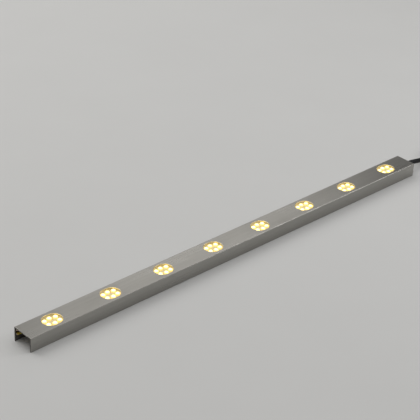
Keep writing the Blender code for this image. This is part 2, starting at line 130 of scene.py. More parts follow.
# The hank: two turns and one more strand, drawn in at the waist by a tie.
HANK_X = 338.3 * MM
HANK_Y = -10 * MM
HANK_LOOP_RADIUS = 15 * MM
HANK_HALF_RUN = 27.2 * MM
HANK_PINCH = 9.9 * MM
HANK_TURNS = 2
HANK_SIDE_STEPS = 12
HANK_ARC_STEPS = 12
HANK_CLIMB_SHARE = 0.7
TIE_LIFT = 0.65 * MM
TIE_LIFT_SPREAD = 7 * MM

# What several shapes share.  A rounded edge's middle ring is at EDGE_SHOULDER of the edge's width.
SQUARE = ((-1, -1), (1, -1), (1, 1), (-1, 1))
EDGE_SHOULDER = 0.3
SHARP_ANGLE = 40
ALONG_X = (0, math.pi / 2, 0)


# ---- Shapes ----

def arc(centre, radius, start, end, steps):
    """Points along an arc in a plane, both ends included, with the angles in degrees."""
    points = []
    for i in range(steps + 1):
        angle = math.radians(start + (end - start) * i / steps)
        points.append((centre[0] + radius * math.cos(angle), centre[1] + radius * math.sin(angle)))
    return points


def slot_outline(length, width, steps):
    """A slot with round ends, long along the first axis."""
    radius = width / 2
    middle = (length - width) / 2
    return arc((middle, 0), radius, -90, 90, steps) + arc((-middle, 0), radius, 90, 270, steps)


def rounded_rectangle(length, width, radius, steps):
    x, y = length / 2 - radius, width / 2 - radius
    return (
        arc((x, y), radius, 0, 90, steps)
        + arc((-x, y), radius, 90, 180, steps)
        + arc((-x, -y), radius, 180, 270, steps)
        + arc((x, -y), radius, 270, 360, steps)
    )


def smooth_step(t):
    t = min(1.0, max(0.0, t))
    return t * t * (3 - 2 * t)


def smooth_route(route, step):
    """Points about a step apart along the Catmull-Rom curve through the route's points."""
    points = [route[0]]
    for i in range(len(route) - 1):
        before, start = route[max(i - 1, 0)], route[i]
        end, after = route[i + 1], route[min(i + 2, len(route) - 1)]
        pieces = max(1, round(math.dist(start, end) / step))
        for k in range(1, pieces + 1):
            t = k / pieces
            point = []
            for a, b, c, d in zip(before, start, end, after):
                bend = 2 * a - 5 * b + 4 * c - d
                twist = -a + 3 * b - 3 * c + d
                point.append((2 * b + (c - a) * t + bend * t * t + twist * t * t * t) / 2)
            points.append(tuple(point))
    return points


def mesh_from(name, shape):
    """Turns a bmesh into a mesh with its faces pointing out."""
    bmesh.ops.recalc_face_normals(shape, faces=shape.faces)
    mesh = bpy.data.meshes.new(name)
    shape.to_mesh(mesh)
    shape.free()
    return mesh


def add_loft(shape, rings, closed=False, material=0, band=None):
    """Adds a skin over rings of points, with caps at its ends unless it is closed on itself.

    band gives the material's number for each strip between two rings.
    """
    made = [[shape.verts.new(point) for point in ring] for ring in rings]
    last = len(made) if closed else len(made) - 1
    for k in range(last):
        low, high = made[k], made[(k + 1) % len(made)]
        for i in range(len(low)):
            j = (i + 1) % len(low)
            face = shape.faces.new((low[i], low[j], high[j], high[i]))
            face.material_index = band[k] if band else material
    if not closed:
        shape.faces.new(made[0]).material_index = band[0] if band else material
        shape.faces.new(made[-1]).material_index = band[-1] if band else material
    return made


def loft_mesh(name, rings, closed=False, band=None):
    shape = bmesh.new()
    add_loft(shape, rings, closed, band=band)
    return mesh_from(name, shape)


def turned_rings(profile, sides, centre=(0, 0, 0), flute=None):
    """Rings round Z from (radius, height) points.  flute(angle, k) adds to ring k's radius."""
    rings = []
    for k, (radius, height) in enumerate(profile):
        ring = []
        for i in range(sides):
            angle = 2 * math.pi * i / sides
            r = radius + (flute(angle, k) if flute else 0)
            ring.append(
                (centre[0] + r * math.cos(angle), centre[1] + r * math.sin(angle), centre[2] + height)
            )
        rings.append(ring)
    return rings


def levels(outline, steps):
    """Rings at several heights, from their (offset, height).  outline(offset) gives the points."""
    return [[(x, y, height) for x, y in outline(offset)] for offset, height in steps]


def prism_rings(outline, low, high, edge):
    """Rings of a prism whose two end faces have a rounded edge.  outline(inset) gives the points."""
    shoulder = EDGE_SHOULDER * edge
    return levels(outline, (
        (edge, low),
        (shoulder, low + shoulder),
        (0.0, low + edge),
        (0.0, high - edge),
        (shoulder, high - shoulder),
        (edge, high),
    ))


def offsets(radius, height, rows):
    """(radius, height) points, from rows of millimetres that are added to a radius and a height."""
    return [(radius + r * MM, height + z * MM) for r, z in rows]


def add_object(name, data):
    made = bpy.data.objects.new(name, data)
    bpy.context.scene.collection.objects.link(made)
    return made


def cut(body, tool_mesh, operation="DIFFERENCE"):
    """Cuts the tool's mesh out of the body, or joins it on."""
    tool = add_object("tool", tool_mesh)
    modifier = body.modifiers.new("cut", "BOOLEAN")
    modifier.operation = operation
    modifier.solver = "EXACT"
    modifier.object = tool
    bpy.context.view_layer.update()
    evaluated = body.evaluated_get(bpy.context.evaluated_depsgraph_get())
    old = body.data
    body.data = bpy.data.meshes.new_from_object(evaluated)
    body.modifiers.clear()
    name = old.name
    bpy.data.meshes.remove(old)
    body.data.name = name
    bpy.data.objects.remove(tool, do_unlink=True)
    bpy.data.meshes.remove(tool_mesh)


def soften(piece, width):
    """Rounds a piece's sharp edges."""
    bevel = piece.modifiers.new("soft_edges", "BEVEL")
    bevel.width = width
    bevel.segments = 3
    bevel.limit_method = "ANGLE"
    bevel.angle_limit = math.radians(SHARP_ANGLE)


def finish_shading(piece, sharp):
    """Shades a piece smooth up to an angle, with its flat faces kept evenly lit."""
    piece.data.shade_smooth()
    piece.data.set_sharp_from_angle(angle=math.radians(sharp))
    weighted = piece.modifiers.new("even_shading", "WEIGHTED_NORMAL")
    weighted.keep_sharp = True
    weighted.weight = 100


def place(name, data, materials, stands_for=(), location=(0, 0, 0), rotation=(0, 0, 0)):
    """Puts a piece in the scene, with its materials, smooth shading and body, and hides the CAD nodes
    it stands for.
    """
    if not isinstance(materials, (list, tuple)):
        materials = [materials]
    if not data.materials:
        for material in materials:
            data.materials.append(material)
    piece = add_object(name, data)
    piece.location = location
    piece.rotation_euler = rotation
    if piece.type == "MESH":
        finish_shading(piece, SHARP_ANGLE)
    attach(piece, "root")
    if stands_for:
        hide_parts(*stands_for)
    return piece


def tube_curve(name, points, diameter, sides):
    """A round tube along the points, as a curve with one open spline."""
    curve = bpy.data.curves.new(name, "CURVE")
    curve.dimensions = "3D"
    curve.bevel_depth = diameter / 2
    curve.bevel_resolution = sides
    curve.use_fill_caps = True
    spline = curve.splines.new("POLY")
    spline.points.add(len(points) - 1)
    for target, point in zip(spline.points, points):
        target.co = (*point, 1.0)
    spline.use_smooth = True
    return curve


# ---- Materials ----

class Finish:
    """One procedural material: a Principled shader and short calls that add nodes to it."""

    def __init__(self, name, color, roughness, metallic=0.0):
        self.material = bpy.data.materials.new(name)
        self.material.use_nodes = True
        self.tree = self.material.node_tree
        self.shader = self.tree.nodes["Principled BSDF"]
        self.shader.inputs["Base Color"].default_value = (*color, 1.0)
        self.shader.inputs["Roughness"].default_value = roughness
        self.shader.inputs["Metallic"].default_value = metallic
        self.height = None

    def node(self, kind, inputs=None, **settings):
        """Adds a node.  An input is a socket to link, a plain value, or a colour's three parts."""
        made = self.tree.nodes.new(kind)
        for key, value in settings.items():
            setattr(made, key, value)
        for key, value in (inputs or {}).items():
            socket = made.inputs[key]
            if isinstance(value, bpy.types.NodeSocket):
                self.tree.links.new(value, socket)
            elif socket.type == "RGBA":
                socket.default_value = (*value, 1.0)
            else:
                socket.default_value = value
        return made

    def place(self, scale):
        """Coordinates on the piece, in metres times the scale."""
        source = self.node("ShaderNodeTexCoord").outputs["Object"]
        return self.node("ShaderNodeMapping", {"Vector": source, "Scale": scale}).outputs[0]

    def noise(self, scale, detail, rough, distortion=0.0):
        """Noise from 0 to 1, of a size of one over the scale, in metres along each axis."""
        if not isinstance(scale, tuple):
            scale = (scale, scale, scale)
        inputs = {
            "Vector": self.place(scale),
            "Scale": 1.0,
            "Detail": detail,
            "Roughness": rough,
            "Distortion": distortion,
        }
        return self.node("ShaderNodeTexNoise", inputs).outputs["Fac"]

    def axis(self, name):
        """One coordinate on the piece, in metres."""
        source = self.node("ShaderNodeTexCoord").outputs["Object"]
        return self.node("ShaderNodeSeparateXYZ", {0: source}).outputs[name]

    def math(self, operation, first, second=0.0):
        return self.node("ShaderNodeMath", {0: first, 1: second}, operation=operation).outputs[0]

    def times(self, first, second):
        return self.math("MULTIPLY", first, second)

    def span(self, value, low, high, to_low=0.0, to_high=1.0):
        """The value's range from low to high, laid onto another range and held at its ends."""
        inputs = {
            "Value": value,
            "From Min": low,
            "From Max": high,
            "To Min": to_low,
            "To Max": to_high,
        }
        return self.node("ShaderNodeMapRange", inputs).outputs[0]

    def mix(self, amount, first, second):
        """A colour between two colours."""
        inputs = {0: amount, 6: first, 7: second}
        return self.node("ShaderNodeMix", inputs, data_type="RGBA").outputs[2]

    def use(self, socket, value):
        """Links a value to one of the shader's sockets."""
        self.tree.links.new(value, self.shader.inputs[socket])

    def fix(self, socket, value):
        """Holds one of the shader's sockets at a constant."""
        self.shader.inputs[socket].default_value = value

    def tones(self, texture, low, high):
        """Colours the piece between two tones."""
        self.use("Base Color", self.mix(self.span(texture, 0.3, 0.7), low, high))

    def gloss(self, texture, low, high):
        """Varies the roughness between two values."""
        self.use("Roughness", self.span(texture, 0.3, 0.7, low, high))

    def bump(self, height, depth, strength):
        """Adds a relief of a real depth in metres, over those that are there already."""
        inputs = {"Height": height, "Distance": depth, "Strength": strength}
        if self.height:
            inputs["Normal"] = self.height
        self.height = self.node("ShaderNodeBump", inputs).outputs[0]
        self.tree.links.new(self.height, self.shader.inputs["Normal"])


ALUMINIUM = (0.39, 0.383, 0.361)
ALUMINIUM_DARK_LINE = (0.366, 0.357, 0.335)
ALUMINIUM_PALE_LINE = (0.410, 0.400, 0.375)
ALUMINIUM_CLOUDED = (0.345, 0.334, 0.308)
ALUMINIUM_STREAK = (0.455, 0.442, 0.414)
ALUMINIUM_WORN = (0.62, 0.60, 0.56)
# Painted shade: the darker tone of the channel's inside, also the lighter end of the end faces' painted
# shade.
ALUMINIUM_PAINTED_SHADE = (0.21, 0.20, 0.185)
# Painted shade: the darkest tone, put on the channel's end faces.
ALUMINIUM_PAINTED_END_SHADE = (0.12, 0.115, 0.105)
ALUMINIUM_MILLED = (0.76, 0.74, 0.69)
ALUMINIUM_SMEARED = (0.62, 0.59, 0.53)

# Where the painted shade of the channel's inside fades out, as distances out from its inner faces.
SHADE_FADE_START = 0.05 * MM
SHADE_FADE_END = 0.15 * MM

LED_GLOW = (1.0, 0.74, 0.22, 1.0)
LED_STRENGTH = 4.7
# Painted light: how strongly the holder glows with the LEDs' colour, and how far below its pocket floor
# the glow starts; the holder is no lamp.
HOLDER_PAINTED_GLOW = 0.12
HOLDER_PAINTED_GLOW_DEPTH = 0.4 * MM
BOARD_WEAVE = 0.5 * MM


def anodised_aluminium():
    """Satin anodised extrusion: die lines along X, a fine etched grain, worn edges and faint marks,
    with painted shade inside the channel and on its end faces.
    """
    made = Finish("anodised_aluminium", ALUMINIUM, 0.36, 1.0)
    lines = made.noise((5, 2600, 2600), 4.0, 0.6)
    broad_lines = made.noise((2, 380, 380), 2.0, 0.5)
    grain = made.noise(5200, 2.0, 0.6)
    cloud = made.noise((16, 55, 55), 3.0, 0.55)
    hairline = made.span(made.noise((60, 4200, 4200), 1.0, 0.4, 0.6), 0.70, 0.76)
    x = made.math("ABSOLUTE", made.axis("X"))
    y = made.math("ABSOLUTE", made.axis("Y"))
    z = made.axis("Z")
    side = made.span(y, HALF_WIDTH - 0.55 * MM, HALF_WIDTH - 0.10 * MM)
    top = made.span(z, BAR_TOP - 0.60 * MM, BAR_TOP - 0.12 * MM)
    chipped = made.span(made.noise((90, 900, 900), 3.0, 0.7), 0.44, 0.62, 0.25, 1.0)
    wear = made.times(made.times(side, top), chipped)
    inside_shade_y = made.span(y, INNER_HALF_WIDTH + SHADE_FADE_START, INNER_HALF_WIDTH + SHADE_FADE_END, 1.0, 0.0)
    inside_shade_z = made.span(z, WEB_UNDERSIDE + SHADE_FADE_START, WEB_UNDERSIDE + SHADE_FADE_END, 1.0, 0.0)
    # The end faces: their dark colour is painted shade, and their extra roughness comes from sawing.
    sawn_shaded_end = made.span(x, BAR_END - 0.06 * MM, BAR_END - 0.02 * MM)
    saw_marks = made.noise((60, 700, 3400), 3.0, 0.6)

    tone = made.mix(made.span(lines, 0.3, 0.7), ALUMINIUM_DARK_LINE, ALUMINIUM_PALE_LINE)
    tone = made.mix(made.span(cloud, 0.35, 0.70, 0.0, 0.45), tone, ALUMINIUM_CLOUDED)
    tone = made.mix(made.span(broad_lines, 0.35, 0.7, 0.0, 0.30), tone, ALUMINIUM_STREAK)
    tone = made.mix(made.times(hairline, 0.45), tone, ALUMINIUM_WORN)
    tone = made.mix(wear, tone, ALUMINIUM_WORN)
    # Painted shade: the faces inside the channel, under the web and between the legs, are darkened.
    tone = made.mix(made.times(inside_shade_y, inside_shade_z), tone, ALUMINIUM_PAINTED_SHADE)
    # Painted shade: the end faces are darkened, mottled by the saw marks.
    painted_end_shade = made.mix(made.span(saw_marks, 0.3, 0.7), ALUMINIUM_PAINTED_END_SHADE, ALUMINIUM_PAINTED_SHADE)
    made.use("Base Color", made.mix(sawn_shaded_end, tone, painted_end_shade))
    rough = made.span(lines, 0.25, 0.75, 0.27, 0.33)
    rough = made.math("ADD", rough, made.span(cloud, 0.3, 0.7, -0.035, 0.045))
    rough = made.math("SUBTRACT", rough, made.times(wear, 0.09))
    made.use("Roughness", made.math("ADD", rough, made.times(sawn_shaded_end, 0.16)))
    made.bump(broad_lines, 0.004 * MM, 0.4)
    made.bump(lines, 0.0014 * MM, 0.5)
    made.bump(grain, 0.0012 * MM, 0.5)
    return made.material


def milled_aluminium():
    """The bare walls of the windows, bright from the cutter, with its fine marks round the wall."""
    made = Finish("milled_aluminium", ALUMINIUM_MILLED, 0.34, 1.0)
    marks = made.noise((300, 300, 9000), 2.0, 0.6)
    smear = made.noise(700, 3.0, 0.6)
    made.use("Base Color", made.mix(made.span(smear, 0.35, 0.7), ALUMINIUM_MILLED, ALUMINIUM_SMEARED))
    made.gloss(marks, 0.28, 0.44)
    made.bump(marks, 0.003 * MM, 0.6)
    return made.material


def led_epoxy():
    """Lit LED bodies: white-hot over the die, golden where the light thins out to the sides."""
    made = Finish("led_epoxy", (0.86, 0.72, 0.40), 0.16)
    glow = made.node("ShaderNodeAttribute", attribute_name="glow").outputs["Fac"]
    swirl = made.noise(900, 2.0, 0.5)
    power = made.times(glow, made.span(swirl, 0.3, 0.7, 0.9, 1.1))
    made.fix("Emission Color", LED_GLOW)
    made.use("Emission Strength", made.times(power, LED_STRENGTH))
    made.fix("Coat Weight", 0.6)
    made.fix("Coat Roughness", 0.05)
    made.gloss(swirl, 0.12, 0.22)
    made.bump(made.noise(1400, 2.0, 0.5), 0.01 * MM, 0.4)
    return made.material


def holder_plastic():
    """Warm white moulded plastic, a little yellowed, with a painted glow of the LEDs' light on its
    upper faces.
    """
    made = Finish("white_plastic", (0.74, 0.65, 0.41), 0.45)
    cloud = made.noise(260, 3.0, 0.6)
    grain = made.noise(3800, 3.0, 0.6)
    made.tones(cloud, (0.76, 0.67, 0.43), (0.70, 0.60, 0.36))
    made.gloss(grain, 0.38, 0.55)
    # Painted light: the holder glows with the LEDs' colour from just below its pocket floor up to its
    # top, standing in for the LEDs' light falling on it.
    made.fix("Emission Color", LED_GLOW)
    lit = made.span(made.axis("Z"), HOLDER_FLOOR - HOLDER_PAINTED_GLOW_DEPTH, HOLDER_FLOOR)
    power = made.span(cloud, 0.3, 0.7, 0.9 * HOLDER_PAINTED_GLOW, 1.1 * HOLDER_PAINTED_GLOW)
    made.use("Emission Strength", made.times(lit, power))
    made.bump(grain, 0.012 * MM, 0.5)
    made.bump(cloud, 0.03 * MM, 0.3)
    return made.material


def circuit_board():
    """Glass-fibre board under white solder mask: a faint weave, buried copper and bare edges."""
    made = Finish("circuit_board", (0.80, 0.80, 0.74), 0.42)
    turns = 2 * math.pi / BOARD_WEAVE
    warp = made.math("SINE", made.times(made.axis("X"), turns))
    weft = made.math("SINE", made.times(made.axis("Y"), turns))
    weave = made.times(warp, weft)
    cloud = made.noise(420, 3.0, 0.6)
    tone = made.mix(made.span(weave, -1, 1), (0.80, 0.80, 0.735), (0.765, 0.765, 0.69))
    tone = made.mix(made.span(cloud, 0.45, 0.75, 0.0, 0.6), tone, (0.66, 0.62, 0.50))
    normal = made.node("ShaderNodeNewGeometry").outputs["Normal"]
    upright = made.math("ABSOLUTE", made.node("ShaderNodeSeparateXYZ", {0: normal}).outputs["Z"])
    made.use("Base Color", made.mix(made.span(upright, 0.3, 0.8), (0.45, 0.42, 0.22), tone))
    made.gloss(cloud, 0.34, 0.5)
    made.bump(weave, 0.008 * MM, 0.6)
    made.bump(cloud, 0.02 * MM, 0.4)
    return made.material


def wire_plastic(name, low, high):
    """Soft PVC insulation: a slow change of tone, handling marks and a faint extrusion ripple."""
    made = Finish(name, low, 0.42)
    cloud = made.noise(320, 3.0, 0.6)
    ripple = made.noise((60, 1800, 1800), 2.0, 0.5)
    made.tones(cloud, low, high)
    made.gloss(ripple, 0.34, 0.50)
    made.bump(cloud, 0.03 * MM, 0.35)
    made.bump(ripple, 0.006 * MM, 0.5)
    return made.material


def sheath_plastic():
    """The lead's black PVC sheath: matt from handling, with dust and scuffs caught by its grain."""
    made = Finish("black_pvc", (0.013, 0.013, 0.014), 0.45)
    cloud = made.noise(140, 4.0, 0.6)
    grain = made.noise(2600, 3.0, 0.6)
    dust = made.span(made.noise(1300, 3.0, 0.75), 0.60, 0.78, 0.0, 0.5)
    scuff = made.span(made.noise(48, 4.0, 0.7), 0.56, 0.72)
    tone = made.mix(made.span(cloud, 0.3, 0.7), (0.006, 0.006, 0.007), (0.011, 0.011, 0.012))
    made.use("Base Color", made.mix(made.times(dust, scuff), tone, (0.060, 0.058, 0.054)))
    rough = made.span(grain, 0.25, 0.75, 0.38, 0.54)
    made.use("Roughness", made.math("ADD", rough, made.times(scuff, 0.12)))
    made.fix("Specular IOR Level", 0.35)
    made.bump(cloud, 0.05 * MM, 0.3)
    made.bump(grain, 0.010 * MM, 0.6)
    return made.material


def moulded_black():
    """Black moulded nylon with a leathery spark-eroded grain."""
    made = Finish("black_plastic", (0.018, 0.018, 0.019), 0.45)
    grain = made.noise(2400, 3.0, 0.65)
    cloud = made.noise(170, 3.0, 0.6)
    where = {"Vector": made.place((2200, 2200, 2200)), "Scale": 1.0}
    cells = made.node("ShaderNodeTexVoronoi", where).outputs["Distance"]
    made.tones(cloud, (0.015, 0.015, 0.016), (0.028, 0.028, 0.029))
    made.gloss(grain, 0.36, 0.56)
    made.bump(cells, 0.02 * MM, 0.5)
    made.bump(grain, 0.01 * MM, 0.5)
    return made.material


def plated(name, color, roughness, tarnish):
    """Plated metal with a fine grain and a breath of tarnish."""
    made = Finish(name, color, roughness, 1.0)
    cloud = made.noise(650, 4.0, 0.6)
    fine = made.noise(5200, 2.0, 0.6)
    made.use("Base Color", made.mix(made.span(cloud, 0.42, 0.72, 0.0, 0.8), color, tarnish))
    rough = made.span(cloud, 0.3, 0.7, roughness * 0.75, roughness * 1.4)
    made.use("Roughness", made.math("ADD", rough, made.span(fine, 0.3, 0.7, -0.04, 0.04)))
    made.bump(fine, 0.003 * MM, 0.5)
    made.bump(cloud, 0.015 * MM, 0.3)
    return made.material


def resistor_lacquer(name, low, high):
    """Sprayed lacquer of a resistor's body or one of its colour bands."""
    made = Finish(name, low, 0.3)
    cloud = made.noise(1500, 3.0, 0.6)
    made.tones(cloud, low, high)
    made.gloss(cloud, 0.24, 0.40)
    made.fix("Coat Weight", 0.3)
    made.bump(cloud, 0.02 * MM, 0.5)
    return made.material


def floor_paper():
    """A plain pale sheet with the faintest mottle."""
    made = Finish("floor", (0.67, 0.67, 0.66), 0.8)
    made.tones(made.noise(9, 4.0, 0.6), (0.665, 0.665, 0.657), (0.677, 0.677, 0.669))
    made.bump(made.noise(900, 3.0, 0.6), 0.03 * MM, 0.3)
    made.fix("Specular IOR Level", 0.2)
    return made.material


# ---- Camera, lights and floor ----

def make_camera():
    azimuth = math.radians(CAMERA_AZIMUTH)
    elevation = math.radians(CAMERA_ELEVATION)
    level = math.cos(elevation)
    back = Vector((math.sin(azimuth) * level, -math.cos(azimuth) * level, math.sin(elevation)))
    level_right = (-back).cross(Vector((0, 0, 1))).normalized()
    level_up = level_right.cross(-back)
    roll = math.radians(CAMERA_ROLL)
    right = math.cos(roll) * level_right + math.sin(roll) * level_up
    up = math.cos(roll) * level_up - math.sin(roll) * level_right
    data = bpy.data.cameras.new("camera")
    data.lens = CAMERA_LENS
    data.sensor_width = SENSOR_WIDTH
    data.clip_start = 0.05
    data.clip_end = 50
    camera = add_object("camera", data)
    turn = Matrix((right, up, back)).transposed().to_4x4()
    camera.matrix_world = Matrix.Translation(CAMERA_TARGET + CAMERA_DISTANCE * back) @ turn
    bpy.context.scene.camera = camera


def make_area_light(name, location, target, size, power, color):
    data = bpy.data.lights.new(name, "AREA")
    data.shape = "RECTANGLE"
    data.size, data.size_y = size
    data.energy = power
    data.color = color
    light = add_object(name, data)
    light.location = location
    direction = Vector(target) - Vector(location)
    light.rotation_euler = direction.to_track_quat("-Z", "Y").to_euler()


WARM_LIGHT = (1.0, 0.985, 0.96)
COOL_LIGHT = (0.97, 0.985, 1.0)

# The lights: name, place, what it points at, size, power and colour.
LIGHTS = [
    ("key", (-0.46, 1.26, 1.34), (0.0, 0.0, 0.0), (1.3, 1.3), 9.5, WARM_LIGHT),
    ("card", (0.69, 0.78, 0.71), (0.0, 0.0, 0.0), (0.62, 0.35), 0.62, WARM_LIGHT),
    ("fill", (0.70, -0.44, 0.54), (0.15, 0.0, 0.0), (0.35, 0.35), 1.2, COOL_LIGHT),
]

# The room's brightness from the horizon up to a height, and overhead.
WORLD_LOW = 0.155
WORLD_HIGH = 0.92
WORLD_RISE = 0.45
WORLD_COLOR = (1.0, 0.995, 0.985, 1.0)
FLOOR_HALF = 4.0
FLOOR_DROP = 0.05 * MM


def make_studio():
    """A pale floor, a grey room that is lighter overhead, a big soft key light, a card and a fill."""
    world = bpy.data.worlds.new("studio")
    bpy.context.scene.world = world
    world.use_nodes = True
    nodes, links = world.node_tree.nodes, world.node_tree.links
    where = nodes.new("ShaderNodeTexCoord")
    split = nodes.new("ShaderNodeSeparateXYZ")
    spread = nodes.new("ShaderNodeMapRange")
    spread.interpolation_type = "SMOOTHSTEP"
    spread.inputs["From Min"].default_value = WORLD_RISE
    spread.inputs["From Max"].default_value = 1.0
    spread.inputs["To Min"].default_value = WORLD_LOW
    spread.inputs["To Max"].default_value = WORLD_HIGH
    background = nodes["Background"]
    background.inputs["Color"].default_value = WORLD_COLOR
    links.new(where.outputs["Generated"], split.inputs[0])
    links.new(split.outputs["Z"], spread.inputs["Value"])
    links.new(spread.outputs[0], background.inputs["Strength"])

    for light in LIGHTS:
        make_area_light(*light)

    shape = bmesh.new()
    corners = [(x * FLOOR_HALF, y * FLOOR_HALF, -FLOOR_DROP) for x, y in SQUARE]
    shape.faces.new([shape.verts.new(corner) for corner in corners])
    data = bpy.data.meshes.new("floor")
    shape.to_mesh(data)
    shape.free()
    data.materials.append(floor_paper())
    floor = add_object("floor", data)

    settings = bpy.context.scene.view_settings
    settings.view_transform = "Standard"
    settings.look = "None"
    settings.exposure = 0.0
    settings.gamma = 1.0


# ---- The supply lead, its tie and its plug ----

def strand_side(x):
    """How far a strand is from the hank's middle line, at x from its waist."""
    drawn_in = HANK_PINCH * (1 + math.cos(math.pi * x / HANK_HALF_RUN)) / 2
    return HANK_LOOP_RADIUS - drawn_in


def strand_lift(x):
    """How much a strand is raised where the tie passes under it."""
    return TIE_LIFT * math.exp(-((x / TIE_LIFT_SPREAD) ** 2))


def hank_side(side, height):
    """A strand along one side of the hank: towards +X on the +Y side, and back on the other."""
    points = []
    for i in range(HANK_SIDE_STEPS + 1):
        x = side * HANK_HALF_RUN * (2 * i / HANK_SIDE_STEPS - 1)
        points.append((HANK_X + x, HANK_Y + side * strand_side(x), height + strand_lift(x)))
    return points


def hank_loop(end, height, rise):
    """A half turn round one end of the hank, clockwise from above, that may climb as it goes."""
    points = []
    for i in range(1, HANK_ARC_STEPS):
        t = i / HANK_ARC_STEPS
        angle = math.radians(end * 90 - 180 * t)
        points.append(
            (
                HANK_X + end * HANK_HALF_RUN + HANK_LOOP_RADIUS * math.cos(angle),
                HANK_Y + HANK_LOOP_RADIUS * math.sin(angle),
                height + rise * smooth_step(t / HANK_CLIMB_SHARE),
            )
        )
    return points


def lead_route():
    """The whole lead: down from the bar, round the hank, and along to the plug."""
    route = list(LEAD_ROUTE)
    for turn in range(HANK_TURNS):
        height = CABLE_DIAMETER * (turn + 0.5)
        route += hank_side(1, height)
        route += hank_loop(1, height, 0.0)
        route += hank_side(-1, height)
        route += hank_loop(-1, height, CABLE_DIAMETER)
    route += hank_side(1, CABLE_DIAMETER * (HANK_TURNS + 0.5))
    return route + TAIL_ROUTE


def make_lead(sheath):
    points = smooth_route(lead_route(), ROUTE_STEP)
    data = tube_curve("supply_lead", points, CABLE_DIAMETER, 6)
    cable = place("supply_lead", data, sheath, ("cable", "cable_hank", "cable_tail"))


TIE_WIDTH = 5 * MM
TIE_THICKNESS = 0.55 * MM
TIE_EDGE = 0.15 * MM
TIE_SLACK = 0.04 * MM
TIE_ARC_STEPS = 8
TIE_HEAD_WIDTH = 6.4 * MM
TIE_HEAD_DEPTH = 3.6 * MM
TIE_HEAD_HEIGHT = 5.2 * MM
TIE_HEAD_CORNER = 0.9 * MM


def wrap_outline(centres, radius, steps):
    """The tightest band round circles of one radius, whose centres go counterclockwise."""
    count = len(centres)
    angles = []
    for i in range(count):
        here, there = centres[i], centres[(i + 1) % count]
        angles.append(math.degrees(math.atan2(there[1] - here[1], there[0] - here[0])) - 90)
    outline = []
    for i in range(count):
        start, end = angles[i - 1], angles[i]
        while end < start:
            end += 360
        outline += arc(centres[i], radius, start, end, steps)
    return outline


def make_tie(plastic):
    """A nylon tie pulled round the hank's waist, with its head on the outside of the -Y side."""
    near = HANK_Y - strand_side(0)
    far = HANK_Y + strand_side(0)
    low = CABLE_DIAMETER / 2 + TIE_LIFT
    centres = [
        (far, low),
        (far, low + 2 * CABLE_DIAMETER),
        (near, low + CABLE_DIAMETER),
        (near, low),
    ]
    inner = CABLE_DIAMETER / 2 + TIE_SLACK
    outer = inner + TIE_THICKNESS
    half = TIE_WIDTH / 2
    section = [
        (inner, -half + TIE_EDGE),
        (inner, half - TIE_EDGE),
        (inner + TIE_EDGE, half),
        (outer - TIE_EDGE, half),
        (outer, half - TIE_EDGE),
        (outer, -half + TIE_EDGE),
        (outer - TIE_EDGE, -half),
        (inner + TIE_EDGE, -half),
    ]
    rings = []
    for radius, x in section:
        rings.append([(HANK_X + x, y, z) for y, z in wrap_outline(centres, radius, TIE_ARC_STEPS)])
    shape = bmesh.new()
    add_loft(shape, rings, closed=True)

    face = near - outer + 0.1 * MM
    back = face - TIE_HEAD_DEPTH
    middle = low + CABLE_DIAMETER / 2

    def head(inset, y):
        """The head's outline at y, drawn in by an inset."""
        outline = rounded_rectangle(TIE_HEAD_WIDTH - 2 * inset, TIE_HEAD_HEIGHT - 2 * inset,
                                    TIE_HEAD_CORNER - inset, 4)
        return [(HANK_X + u, y, middle + v) for u, v in outline]

    steps = ((0.0, face), (0.0, back + 0.5 * MM), (0.15 * MM, back + 0.15 * MM), (0.5 * MM, back))
    add_loft(shape, [head(inset, y) for inset, y in steps])

    # The strap's cut end, which stands up out of the head.
    end_half = half - 0.6 * MM
    y = face - TIE_HEAD_DEPTH / 2
    end_rings = []
    for x_half, rise in ((end_half, -0.2 * MM), (end_half, 4.2 * MM), (0.55 * end_half, 4.9 * MM)):
        z = middle + (TIE_HEAD_HEIGHT / 2 + rise)
        end_rings.append([(HANK_X + a * x_half, y + b * TIE_THICKNESS / 2, z) for a, b in SQUARE])
    add_loft(shape, end_rings)
    place("nylon_tie", mesh_from("nylon_tie", shape), plastic, ("hank_tie",))


PLUG_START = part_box("plug_boot")[0].x
PLUG_AXIS = (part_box("plug_boot")[0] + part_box("plug_boot")[1]) / 2
BOOT_LENGTH = 14 * MM
BOOT_RIBS = 6
# A rib and the groove after it: shares of their length, and depths in millimetres.
BOOT_RIB = [(0.0, 0.15), (0.12, 0.0), (0.5, 0.0), (0.62, 0.15), (0.70, 0.6), (0.92, 0.6)]
BOOT_TIP_RADIUS = 3.3 * MM
BOOT_BASE_RADIUS = 4.4 * MM
PLUG_BODY_LENGTH = 22 * MM
PLUG_BODY_RADIUS = 5.0 * MM
BARREL_LENGTH = 9.5 * MM
BARREL_RADIUS = 2.75 * MM
BARREL_BORE_RADIUS = 2.35 * MM
INSULATOR_RADIUS = 2.3 * MM
INSULATOR_BORE_RADIUS = 1.15 * MM
CONTACT_BORE_RADIUS = 0.95 * MM
PLUG_SIDES = 64
FLUTES = 16
FLUTE_DEPTH = 0.28 * MM


def boot_profile():
    """The boot's side: ribs on a taper, with a thin lip at the tip."""
    profile = offsets(BOOT_TIP_RADIUS, 0, [(-0.5, 0), (-0.15, 0.1)])
    rib = (BOOT_LENGTH - 2.0 * MM) / BOOT_RIBS
    for k in range(BOOT_RIBS):
        start = 0.3 * MM + k * rib
        for share, depth in BOOT_RIB:
            z = start + share * rib
            taper = BOOT_TIP_RADIUS + (BOOT_BASE_RADIUS - BOOT_TIP_RADIUS) * z / BOOT_LENGTH
            profile.append((taper - depth * MM, z))
    return profile + offsets(
        BOOT_BASE_RADIUS, BOOT_LENGTH, [(-0.2, -1.6), (0, -1.3), (0, -0.2), (-0.2, 0)])


